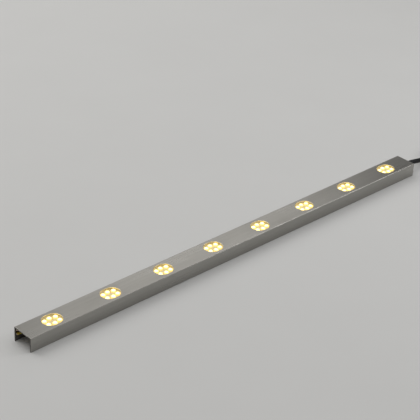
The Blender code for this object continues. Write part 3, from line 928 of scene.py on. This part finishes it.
def make_plug(sheath, plastic, nickel):
    """A barrel plug: ribbed boot, fluted grip, nickel barrel, insulator and inner contact."""
    origin = (PLUG_START, PLUG_AXIS.y, PLUG_AXIS.z)

    def turned_piece(name, profile, material, nodes, closed=False, flute=None):
        data = loft_mesh(name, turned_rings(profile, PLUG_SIDES, flute=flute), closed)
        place(name, data, material, nodes, origin, ALONG_X)

    turned_piece("cord_boot", boot_profile(), sheath, ("plug_boot",))

    start = BOOT_LENGTH + MARGIN
    end = start + PLUG_BODY_LENGTH
    grip = (
        offsets(PLUG_BODY_RADIUS, start,
                [(-0.9, 0), (-0.35, 0.12), (-0.08, 0.5), (0, 1.0), (0, 2.6), (-0.05, 3.0)])
        + offsets(PLUG_BODY_RADIUS, end,
                  [(-0.05, -6.2), (0, -5.8), (0, -1.1), (-0.12, -0.45), (-0.5, -0.08), (-1.0, 0)])
    )

    def flute(angle, k):
        return -FLUTE_DEPTH * (0.5 - 0.5 * math.cos(FLUTES * angle)) if k in (5, 6) else 0

    turned_piece("plug_grip", grip, plastic, ("plug_body",), flute=flute)

    low = end + MARGIN
    high = low + BARREL_LENGTH
    neck = low - 1.0 * MM
    barrel = (
        [(BARREL_BORE_RADIUS, neck), (BARREL_RADIUS, neck)]
        + offsets(BARREL_RADIUS, low, [(0, 1.2), (-0.08, 1.35), (-0.08, 1.7), (0, 1.85)])
        + offsets(BARREL_RADIUS, high, [(0, -0.35), (-0.1, -0.1), (-0.2, 0)])
        + offsets(BARREL_BORE_RADIUS, high, [(0.05, 0), (0, -0.06)])
    )
    insulator = (
        [(INSULATOR_BORE_RADIUS, neck), (INSULATOR_RADIUS, neck)]
        + offsets(INSULATOR_RADIUS, high, [(0, -0.35), (-0.15, -0.2)])
        + offsets(INSULATOR_BORE_RADIUS, high, [(0.15, -0.2), (0, -0.35)])
    )
    contact_radius = INSULATOR_BORE_RADIUS - 0.02 * MM
    contact = [
        (CONTACT_BORE_RADIUS, neck),
        (contact_radius, neck),
        (contact_radius, high - 1.0 * MM),
        (CONTACT_BORE_RADIUS, high - 0.9 * MM),
    ]
    for name, profile, material, slot, nodes in (
        ("barrel_sleeve", barrel, nickel, "plated_steel", ("plug_barrel",)),
        ("barrel_insulator", insulator, plastic, "black_plastic", ("plug_insulator",)),
        ("inner_contact", contact, nickel, "plated_steel", ()),
    ):
        turned_piece(name, profile, material, nodes, closed=True)


# ---- The channel ----

WINDOW_RIM = 0.18 * MM
CORNER_STEPS = 6
INNER_CORNER_STEPS = 4
FOOT_STEPS = 3


def channel_outline(inset):
    """The channel's section in Y and Z, drawn in by an inset from every surface."""
    outer = (HALF_WIDTH - OUTER_EDGE_RADIUS, BAR_TOP - OUTER_EDGE_RADIUS)
    inner = (INNER_HALF_WIDTH - INNER_EDGE_RADIUS, WEB_UNDERSIDE - INNER_EDGE_RADIUS)
    foot = FOOT_EDGE_RADIUS
    outer_foot, inner_foot = HALF_WIDTH - foot, INNER_HALF_WIDTH + foot
    outer_radius = OUTER_EDGE_RADIUS - inset
    inner_radius = INNER_EDGE_RADIUS + inset
    foot_radius = foot - inset
    return (
        arc((outer_foot, foot), foot_radius, -90, 0, FOOT_STEPS)
        + arc(outer, outer_radius, 0, 90, CORNER_STEPS)
        + arc((-outer[0], outer[1]), outer_radius, 90, 180, CORNER_STEPS)
        + arc((-outer_foot, foot), foot_radius, 180, 270, FOOT_STEPS)
        + arc((-inner_foot, foot), foot_radius, 270, 360, FOOT_STEPS)
        + arc((-inner[0], inner[1]), inner_radius, 180, 90, INNER_CORNER_STEPS)
        + arc(inner, inner_radius, 90, 0, INNER_CORNER_STEPS)
        + arc((inner_foot, foot), foot_radius, 180, 270, FOOT_STEPS)
    )


def make_channel(anodised, milled):
    rings = prism_rings(channel_outline, -BAR_END, BAR_END, END_BURR)
    rings = [[(x, y, z) for y, z, x in ring] for ring in rings]
    channel = place("bar_channel", loft_mesh("bar_channel", rings), [anodised, milled],
                    ("channel",))

    def window(offset):
        return slot_outline(WINDOW_LENGTH + 2 * offset, WINDOW_WIDTH + 2 * offset, WINDOW_STEPS)

    rim = WINDOW_RIM
    steps = (
        (rim, WEB_UNDERSIDE - WALL),
        (rim, WEB_UNDERSIDE - 0.02 * MM),
        (0.0, WEB_UNDERSIDE + rim),
        (0.0, BAR_TOP - rim),
        (0.3 * rim, BAR_TOP - 0.3 * rim),
        (1.1 * rim, BAR_TOP + 0.1 * rim),
        (1.1 * rim, BAR_TOP + WALL),
    )
    shape = bmesh.new()
    for x in window_centres():
        add_loft(shape, [[(x + u, v, z) for u, v in window(offset)] for offset, z in steps], material=1)
    cut(channel, mesh_from("windows", shape))
    finish_shading(channel, SHARP_ANGLE)


def window_centres():
    """The middles of the light groups, from the frame."""
    centres = []
    for number in range(1, WINDOW_COUNT + 1):
        low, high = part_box(f"led_cluster_{number}")
        centres.append((low.x + high.x) / 2)
    return centres


# ---- The light groups ----

BOARD_LOW, BOARD_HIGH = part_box("led_board_1")
BOARD_TOP = BOARD_HIGH.z
BOARD_UNDERSIDE = BOARD_LOW.z
LED_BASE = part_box("led_cluster_1")[0].z
HOLDER_LOW, HOLDER_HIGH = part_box("led_holder_1")
HOLDER_LENGTH = HOLDER_HIGH.x - HOLDER_LOW.x
HOLDER_WIDTH = HOLDER_HIGH.y - HOLDER_LOW.y
HOLDER_TOP = HOLDER_HIGH.z
HOLDER_BOTTOM = 11.2 * MM
HOLDER_FLOOR = 12.0 * MM
HOLDER_CORNER = 2.0 * MM
HOLDER_EDGE = 0.15 * MM
LED_HOLE_RIM = 0.17 * MM
POCKET_MARGIN = 0.3 * MM
FOOT_LENGTH = 1.8 * MM
FOOT_WIDTH = 14 * MM
FOOT_CORNER = 0.4 * MM
LED_LEG = 0.5 * MM
LED_LEG_CORNER = 0.08 * MM
LED_LEG_OFFSET = 1.27 * MM
LEG_END = 7.0 * MM
PAD_RADIUS = 0.78 * MM
BOARD_CORNER = 1.0 * MM
BOARD_EDGE = 0.08 * MM

# An LED's side from its base up, and how strongly it shines there.
LED_DOME_BASE = 2.5 * MM
LED_SIDE_GLOW = 0.11
LED_CORE_START = 0.20
LED_CORE_FADE = 0.62
LED_PROFILE = [
    (2.70 * MM, 0.00, 0.02), (LED_FLANGE_RADIUS, 0.14 * MM, 0.04), (LED_FLANGE_RADIUS, 0.66 * MM, 0.06),
    (2.76 * MM, 0.80 * MM, 0.08), (2.46 * MM, 0.86 * MM, 0.10), (LED_RADIUS, 1.00 * MM, 0.12),
    (LED_RADIUS, 1.80 * MM, 0.14), (LED_RADIUS, LED_DOME_BASE, LED_SIDE_GLOW),
]
LED_DOME_STEPS = 10
LED_DOME_ANGLE = 88


def led_profile():
    profile = list(LED_PROFILE)
    for i in range(1, LED_DOME_STEPS + 1):
        t = i / LED_DOME_STEPS
        angle = math.radians(LED_DOME_ANGLE * t)
        radius = LED_RADIUS * math.cos(angle)
        height = LED_DOME_BASE + (LED_HEIGHT - LED_DOME_BASE) * math.sin(angle)
        core = smooth_step((t - LED_CORE_START) / LED_CORE_FADE)
        profile.append((radius, height, LED_SIDE_GLOW + (1 - LED_SIDE_GLOW) * core))
    return profile


def led_group_mesh():
    """Six LEDs on their spots, with their glow kept on the mesh."""
    shape = bmesh.new()
    glow = shape.verts.layers.float.new("glow")
    profile = led_profile()
    for x, y in LED_SPOTS:
        rings = turned_rings([(r, z) for r, z, g in profile], LED_SIDES, (x, y, 0))
        made = add_loft(shape, rings)
        for ring, (r, z, g) in zip(made, profile):
            for vertex in ring:
                vertex[glow] = g
    return mesh_from("leds", shape)


def holder_mesh():
    """The moulded plate with its pocket, six LED holes with eased rims, and two feet."""
    def plate(inset):
        return rounded_rectangle(
            HOLDER_LENGTH - 2 * inset, HOLDER_WIDTH - 2 * inset, HOLDER_CORNER - inset, 6)

    def pocket(offset):
        margin = 2 * (POCKET_MARGIN + offset)
        return slot_outline(WINDOW_LENGTH + margin, WINDOW_WIDTH + margin, WINDOW_STEPS)

    rings = prism_rings(plate, HOLDER_BOTTOM, HOLDER_TOP, HOLDER_EDGE)
    holder = add_object("holder", loft_mesh("holder", rings))
    cut(holder, loft_mesh("pocket", levels(pocket, (
        (-0.25 * MM, HOLDER_FLOOR),
        (0.0, HOLDER_FLOOR + 0.25 * MM),
        (0.0, HOLDER_TOP - 0.1 * MM),
        (0.2 * MM, HOLDER_TOP + 0.1 * MM),
        (0.2 * MM, HOLDER_TOP + WALL),
    ))))
    rim_radius = LED_HOLE_RADIUS + LED_HOLE_RIM
    profile = [
        (LED_HOLE_RADIUS, HOLDER_BOTTOM - WALL),
        (LED_HOLE_RADIUS, HOLDER_FLOOR - 0.15 * MM),
        (rim_radius, HOLDER_FLOOR + 0.02 * MM),
        (rim_radius, HOLDER_TOP),
    ]
    for x, y in LED_SPOTS:
        cut(holder, loft_mesh("led_hole", turned_rings(profile, LED_SIDES, (x, y, 0))))
    foot_x = (HOLDER_LENGTH - FOOT_LENGTH) / 2 - 0.1 * MM
    for side in (-1, 1):
        def foot(inset):
            outline = rounded_rectangle(FOOT_LENGTH - 2 * inset, FOOT_WIDTH - 2 * inset, FOOT_CORNER, 3)
            return [(side * foot_x + u, v) for u, v in outline]

        cut(holder, loft_mesh("foot", levels(foot, (
            (HOLDER_EDGE, HOLDER_LOW.z),
            (0.0, HOLDER_LOW.z + HOLDER_EDGE),
            (0.0, HOLDER_BOTTOM + 0.5 * MM),
        ))), "UNION")
    mesh = holder.data
    bpy.data.objects.remove(holder, do_unlink=True)
    return mesh


def board_mesh():
    length = BOARD_HIGH.x - BOARD_LOW.x
    width = BOARD_HIGH.y - BOARD_LOW.y

    def outline(inset):
        return rounded_rectangle(length - 2 * inset, width - 2 * inset, BOARD_CORNER - inset, 5)

    half = (BOARD_TOP - BOARD_UNDERSIDE) / 2
    return loft_mesh("board", prism_rings(outline, -half, half, BOARD_EDGE))


def add_solder(shape, x, y, tip, radius=PAD_RADIUS):
    """A solder cone that hangs from a pad on the board's underside to a leg's tip."""
    profile = [
        (radius, BOARD_UNDERSIDE + 0.02 * MM),
        (radius, BOARD_UNDERSIDE - 0.04 * MM),
        (0.78 * radius, BOARD_UNDERSIDE - 0.14 * MM),
        (0.52 * radius, BOARD_UNDERSIDE - 0.34 * MM),
        (0.40 * radius, tip + 0.12 * MM),
        (0.30 * radius, tip),
    ]
    add_loft(shape, turned_rings(profile, 16, (x, y, 0)))


def add_rod(shape, points, radius, sides=10):
    """A thin round wire along points, with flat ends."""
    rings = []
    for i, point in enumerate(points):
        here = Vector(point)
        before = Vector(points[max(i - 1, 0)])
        after = Vector(points[min(i + 1, len(points) - 1)])
        along = (after - before).normalized()
        across = along.cross(Vector((0.31, 0.2, 0.93))).normalized()
        up = across.cross(along)
        ring = []
        for k in range(sides):
            angle = 2 * math.pi * k / sides
            ring.append(here + radius * (math.cos(angle) * across + math.sin(angle) * up))
        rings.append(ring)
    add_loft(shape, rings)


RESISTOR_OFFSET = 3.5 * MM
RESISTOR_LOW, RESISTOR_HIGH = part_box("resistor_a_1")
RESISTOR_Z = (RESISTOR_LOW.z + RESISTOR_HIGH.z) / 2
RESISTOR_HALF = (RESISTOR_HIGH.x - RESISTOR_LOW.x) / 2
RESISTOR_LEG_X = 4.4 * MM
RESISTOR_LEG_RADIUS = 0.26 * MM
RESISTOR_LEG_BEND = 0.7 * MM
SOLDER_DROP = 0.5 * MM
JUMPER_X = 9.0 * MM
JUMPER_RADIUS = 0.22 * MM
JUMPER_STEP = 0.15 * MM
JUMPER_PAD_RADIUS = 1.0 * MM


def legs_mesh():
    """What is soldered to a board: LED legs, resistor legs and the jumpers from the supply wires."""
    shape = bmesh.new()
    for x, y in LED_SPOTS:
        for side in (-1, 1):
            shift = side * LED_LEG_OFFSET
            leg_x, leg_y = (x + shift, y) if x == 0 else (x, y + shift)
            pin = rounded_rectangle(LED_LEG, LED_LEG, LED_LEG_CORNER, 2)
            add_loft(shape, [[(leg_x + u, leg_y + v, z) for u, v in pin] for z in (LEG_END, LED_BASE)])
            add_solder(shape, leg_x, leg_y, LEG_END + 0.25 * MM)
    for side in (-1, 1):
        y = side * RESISTOR_OFFSET
        for end in (-1, 1):
            bend = RESISTOR_LEG_BEND
            corner = arc((RESISTOR_LEG_X - bend, RESISTOR_Z + bend), bend, -90, 0, 6)
            route = [(end * (RESISTOR_HALF - 0.05 * MM), y, RESISTOR_Z)]
            route += [(end * u, y, z) for u, z in corner]
            route += [(end * RESISTOR_LEG_X, y, BOARD_UNDERSIDE)]
            add_rod(shape, route, RESISTOR_LEG_RADIUS)
            add_solder(shape, end * RESISTOR_LEG_X, y, BOARD_UNDERSIDE - SOLDER_DROP)
    pad_y = BOARD_HIGH.y - 1.1 * MM
    gap_y = BOARD_HIGH.y + 0.25 * MM
    red = [
        (WIRE_Y - 0.7 * MM, RED_WIRE_Z),
        (gap_y + 0.15 * MM, RED_WIRE_Z - 0.3 * MM),
        (gap_y, RED_WIRE_Z - 0.9 * MM),
        (gap_y, BOARD_UNDERSIDE - 0.1 * MM),
        (gap_y - 0.3 * MM, BOARD_UNDERSIDE - 0.6 * MM),
        (pad_y + 0.4 * MM, BOARD_UNDERSIDE - 0.6 * MM),
        (pad_y, BOARD_UNDERSIDE - 0.1 * MM),
    ]
    yellow = [
        (WIRE_Y - 0.7 * MM, YELLOW_WIRE_Z - 0.3 * MM),
        (gap_y, YELLOW_WIRE_Z - 0.7 * MM),
        (gap_y - 0.6 * MM, YELLOW_WIRE_Z - 0.75 * MM),
        (pad_y + 0.3 * MM, YELLOW_WIRE_Z - 0.4 * MM),
        (pad_y, BOARD_UNDERSIDE - 0.1 * MM),
    ]
    for x, path in ((-JUMPER_X, red), (JUMPER_X, yellow)):
        route = smooth_route([(x, y, z) for y, z in path], JUMPER_STEP)
        add_rod(shape, route, JUMPER_RADIUS)
        add_solder(shape, x, pad_y, BOARD_UNDERSIDE - SOLDER_DROP, JUMPER_PAD_RADIUS)
    return mesh_from("legs", shape)


# A resistor's side from its middle to one end, in millimetres, and its colour bands.
RESISTOR_SIDE = [
    (0.95, 0.00), (0.95, 0.28), (0.95, 0.30), (0.95, 0.72), (0.95, 0.74), (0.95, 1.12), (0.95, 1.30),
    (0.99, 1.50), (1.08, 1.72), (1.15, 2.00), (1.15, 2.02), (1.15, 2.42), (1.15, 2.44), (1.13, 2.62),
    (1.04, 2.86), (0.84, 3.05), (0.45, 3.15),
]
WAIST_BAND = (0.30, 0.72)
BULGE_BAND = (2.02, 2.42)
BODY, BROWN, RED, GOLD = range(4)


def resistor_mesh():
    """A resistor along Z with four bands: two on its bulges and two on its waist."""
    shape = bmesh.new()
    upper = [(r * MM, z * MM) for r, z in RESISTOR_SIDE]
    lower = [(r, -z) for r, z in reversed(upper[1:])]
    profile = lower + upper
    band = []
    for start, end in zip(profile, profile[1:]):
        middle = (start[1] + end[1]) / 2 / MM
        size = abs(middle)
        colour = BODY
        if BULGE_BAND[0] < size < BULGE_BAND[1]:
            colour = BROWN if middle < 0 else GOLD
        elif WAIST_BAND[0] < size < WAIST_BAND[1]:
            colour = RED if middle < 0 else BROWN
        band.append(colour)
    add_loft(shape, turned_rings(profile, 28), band=band)
    return mesh_from("resistor_body", shape)


def make_light_groups(metal_legs):
    leds, holder, board = led_group_mesh(), holder_mesh(), board_mesh()
    legs, resistor = legs_mesh(), resistor_mesh()
    epoxy, plastic, laminate = led_epoxy(), holder_plastic(), circuit_board()
    lacquers = [
        resistor_lacquer("resistor_body", (0.62, 0.47, 0.28), (0.54, 0.40, 0.23)),
        resistor_lacquer("resistor_band_brown", (0.12, 0.045, 0.02), (0.09, 0.032, 0.015)),
        resistor_lacquer("resistor_band_red", (0.45, 0.03, 0.02), (0.36, 0.022, 0.015)),
        resistor_lacquer("resistor_band_gold", (0.55, 0.38, 0.10), (0.46, 0.31, 0.08)),
    ]
    board_z = (BOARD_TOP + BOARD_UNDERSIDE) / 2
    for number, x in enumerate(window_centres(), start=1):
        place(f"leds_{number}", leds, epoxy, (f"led_cluster_{number}",), (x, 0, LED_BASE))
        place(f"holder_{number}", holder, plastic, (f"led_holder_{number}",), (x, 0, 0))
        place(f"board_{number}", board, laminate, (f"led_board_{number}",),
              (x, 0, board_z))
        place(f"soldered_legs_{number}", legs, metal_legs, (), (x, 0, 0))
        for letter, side in (("a", 1), ("b", -1)):
            place(f"series_resistor_{letter}_{number}", resistor, lacquers,
                  (f"resistor_{letter}_{number}",), (x, side * RESISTOR_OFFSET, RESISTOR_Z), ALONG_X)


# ---- The wires and the clamp ----

def wire_route(z, end_z, core_z):
    """A wire's insulation from its stripped end, along the far wall, to its core in the lead."""
    start_x = WIRE_END_X + WIRE_BARE_LENGTH
    end_x = LEAD_ROUTE[0][0] + 0.4 * MM
    points = []
    for i in range(WIRE_STEPS + 1):
        t = i / WIRE_STEPS
        points.append((start_x + WIRE_RISE_LENGTH * t, WIRE_Y, end_z + (z - end_z) * smooth_step(t)))
    for i in range(WIRE_STEPS + 1):
        t = i / WIRE_STEPS
        y = WIRE_Y + (CABLE_Y - WIRE_Y) * smooth_step(t)
        points.append((end_x - WIRE_CROSS_LENGTH * (1 - t), y, z + (core_z - z) * smooth_step(t)))
    return points


def strands_mesh(name, z):
    """The bare strands at a wire's stripped end: a twisted ring of them round a straight one."""
    shape = bmesh.new()
    for strand in range(STRAND_COUNT + 1):
        points = []
        for i in range(STRAND_STEPS + 1):
            t = i / STRAND_STEPS
            x = WIRE_END_X + WIRE_BARE_LENGTH * (1 - t) + STRAND_ROOT * (1 - t)
            radius = 0 if strand == STRAND_COUNT else STRAND_RING_RADIUS * (1 + STRAND_FLARE * t)
            angle = 2 * math.pi * strand / STRAND_COUNT + STRAND_TWIST * t
            points.append((x, WIRE_Y + radius * math.cos(angle), z + radius * math.sin(angle)))
        add_rod(shape, points, STRAND_DIAMETER / 2)
    return mesh_from(name, shape)


def make_wires(strand_metal):
    red = wire_plastic("red_pvc", (0.36, 0.036, 0.017), (0.43, 0.048, 0.022))
    yellow = wire_plastic("yellow_pvc", (0.78, 0.57, 0.06), (0.84, 0.64, 0.09))
    for name, material, z, end_z, core_z in (
        ("red", red, RED_WIRE_Z, RED_WIRE_END_Z, CABLE_Z + CORE_SPREAD),
        ("yellow", yellow, YELLOW_WIRE_Z, YELLOW_WIRE_Z, CABLE_Z - CORE_SPREAD),
    ):
        data = tube_curve(f"{name}_supply_wire", wire_route(z, end_z, core_z), WIRE_DIAMETER, 5)
        place(f"{name}_supply_wire", data, material, (f"{name}_wire",))
        place(f"{name}_wire_strands", strands_mesh(f"{name}_wire_strands", end_z), strand_metal)


CLAMP_LOW, CLAMP_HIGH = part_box("cable_clamp_base")
CLAMP_SPLIT = CABLE_Z
CLAMP_BORE_RADIUS = 2.62 * MM
STRAP_OUTER_RADIUS = 4.1 * MM
STRAP_EAR_BOTTOM = 7.4 * MM
CLAMP_EDGE = 0.3 * MM
CLAMP_SHARP_ANGLE = 35
CLAMP_ARC_STEPS = 24
SCREW_OFFSET = 5.75 * MM
SCREW_SHANK_RADIUS = 1.0 * MM
SCREW_HEAD_RADIUS = 1.6 * MM
SCREW_HEAD_HEIGHT = 1.1 * MM
SCREW_THREADS = 9
THREAD_ROOT_RADIUS = 0.82 * SCREW_SHANK_RADIUS
SCREW_SIDES = 32
RECESS_LENGTH = 1.9 * MM
RECESS_WIDTH = 0.42 * MM
RECESS_TAPER = 0.45 * MM
SCREW_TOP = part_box("clamp_screw_1")[1].z


def make_clamp(plastic, steel):
    """The block under the web and the strap below it, with two cross-head screws."""
    side = (CLAMP_HIGH.y - CLAMP_LOW.y) / 2
    split = MARGIN / 2
    top = CLAMP_HIGH.z - CLAMP_SPLIT
    ear_z = STRAP_EAR_BOTTOM - CLAMP_SPLIT
    edge = math.degrees(math.asin(split / CLAMP_BORE_RADIUS))
    block = [(-side, split)]
    block += arc((0, 0), CLAMP_BORE_RADIUS, 180 - edge, edge, CLAMP_ARC_STEPS)
    block += [(side, split), (side, top), (-side, top)]
    strap = [(-side, -split)]
    strap += arc((0, 0), CLAMP_BORE_RADIUS, 180 + edge, 360 - edge, CLAMP_ARC_STEPS)
    strap += [(side, -split), (side, ear_z)]
    ear = math.degrees(math.asin(ear_z / STRAP_OUTER_RADIUS))
    strap += arc((0, 0), STRAP_OUTER_RADIUS, 360 + ear, 180 - ear, CLAMP_ARC_STEPS)
    strap += [(-side, ear_z)]
    middle_x = (CLAMP_LOW.x + CLAMP_HIGH.x) / 2
    hole = [(SCREW_SHANK_RADIUS + 0.1 * MM, 0), (SCREW_SHANK_RADIUS + 0.1 * MM, SCREW_TOP + MARGIN)]
    for name, node, outline in (
        ("clamp_block", "cable_clamp_base", block),
        ("clamp_strap", "cable_clamp_strap", strap),
    ):
        ends = (CLAMP_LOW.x, CLAMP_HIGH.x)
        rings = [[(x, CABLE_Y + y, CLAMP_SPLIT + z) for y, z in outline] for x in ends]
        piece = place(name, loft_mesh(name, rings), plastic, (node,))
        for sign in (1, -1):
            centre = (middle_x, CABLE_Y + sign * SCREW_OFFSET, 0)
            cut(piece, loft_mesh("screw_hole", turned_rings(hole, 24, centre)))
        soften(piece, CLAMP_EDGE)
        finish_shading(piece, CLAMP_SHARP_ANGLE)

    head_top = STRAP_EAR_BOTTOM - 0.02 * MM
    r, h = SCREW_HEAD_RADIUS, SCREW_HEAD_HEIGHT
    screw = [
        (0.55 * r, head_top - h),
        (0.80 * r, head_top - 0.93 * h),
        (0.95 * r, head_top - 0.68 * h),
        (r, head_top - 0.35 * h),
        (r, head_top - 0.06 * h),
        (0.97 * r, head_top),
        (SCREW_SHANK_RADIUS, head_top),
    ]
    pitch = (SCREW_TOP - 0.7 * MM - head_top) / SCREW_THREADS
    for k in range(SCREW_THREADS):
        base = head_top + k * pitch
        screw.append((THREAD_ROOT_RADIUS, base + 0.25 * pitch))
        screw.append((SCREW_SHANK_RADIUS, base + 0.75 * pitch))
    screw += [(0.5 * SCREW_SHANK_RADIUS, SCREW_TOP - 0.1 * MM), (0.2 * SCREW_SHANK_RADIUS, SCREW_TOP)]
    data = loft_mesh("cross_screw", turned_rings(screw, SCREW_SIDES))
    for number, sign in ((1, 1), (2, -1)):
        spot = (middle_x, CABLE_Y + sign * SCREW_OFFSET, 0)
        piece = place(f"cross_screw_{number}", data.copy(), steel,
                      (f"clamp_screw_{number}",), spot)
        for size in ((RECESS_LENGTH, RECESS_WIDTH), (RECESS_WIDTH, RECESS_LENGTH)):
            def blade(offset, size=size):
                u, v = size[0] / 2 - offset, size[1] / 2 - offset * 0.3
                return [(u, v), (-u, v), (-u, -v), (u, -v)]

            cut(piece, loft_mesh("recess", levels(blade, (
                (0.0, head_top - h - 0.5 * MM),
                (0.0, head_top - 0.98 * h),
                (RECESS_TAPER, head_top - 0.25 * h),
            ))))
        finish_shading(piece, CLAMP_SHARP_ANGLE)


def main():
    make_camera()
    make_studio()
    sheath = sheath_plastic()
    plastic = moulded_black()
    nickel = plated("plated_steel", (0.62, 0.60, 0.56), 0.22, (0.50, 0.46, 0.38))
    solder = plated("solder", (0.58, 0.57, 0.55), 0.34, (0.42, 0.40, 0.36))
    tinned = plated("tinned_copper", (0.72, 0.63, 0.50), 0.32, (0.56, 0.44, 0.30))
    make_plug(sheath, plastic, nickel)
    make_tie(plastic)
    make_lead(sheath)
    make_channel(anodised_aluminium(), milled_aluminium())
    make_light_groups(solder)
    make_wires(tinned)
    make_clamp(plastic, nickel)


main()
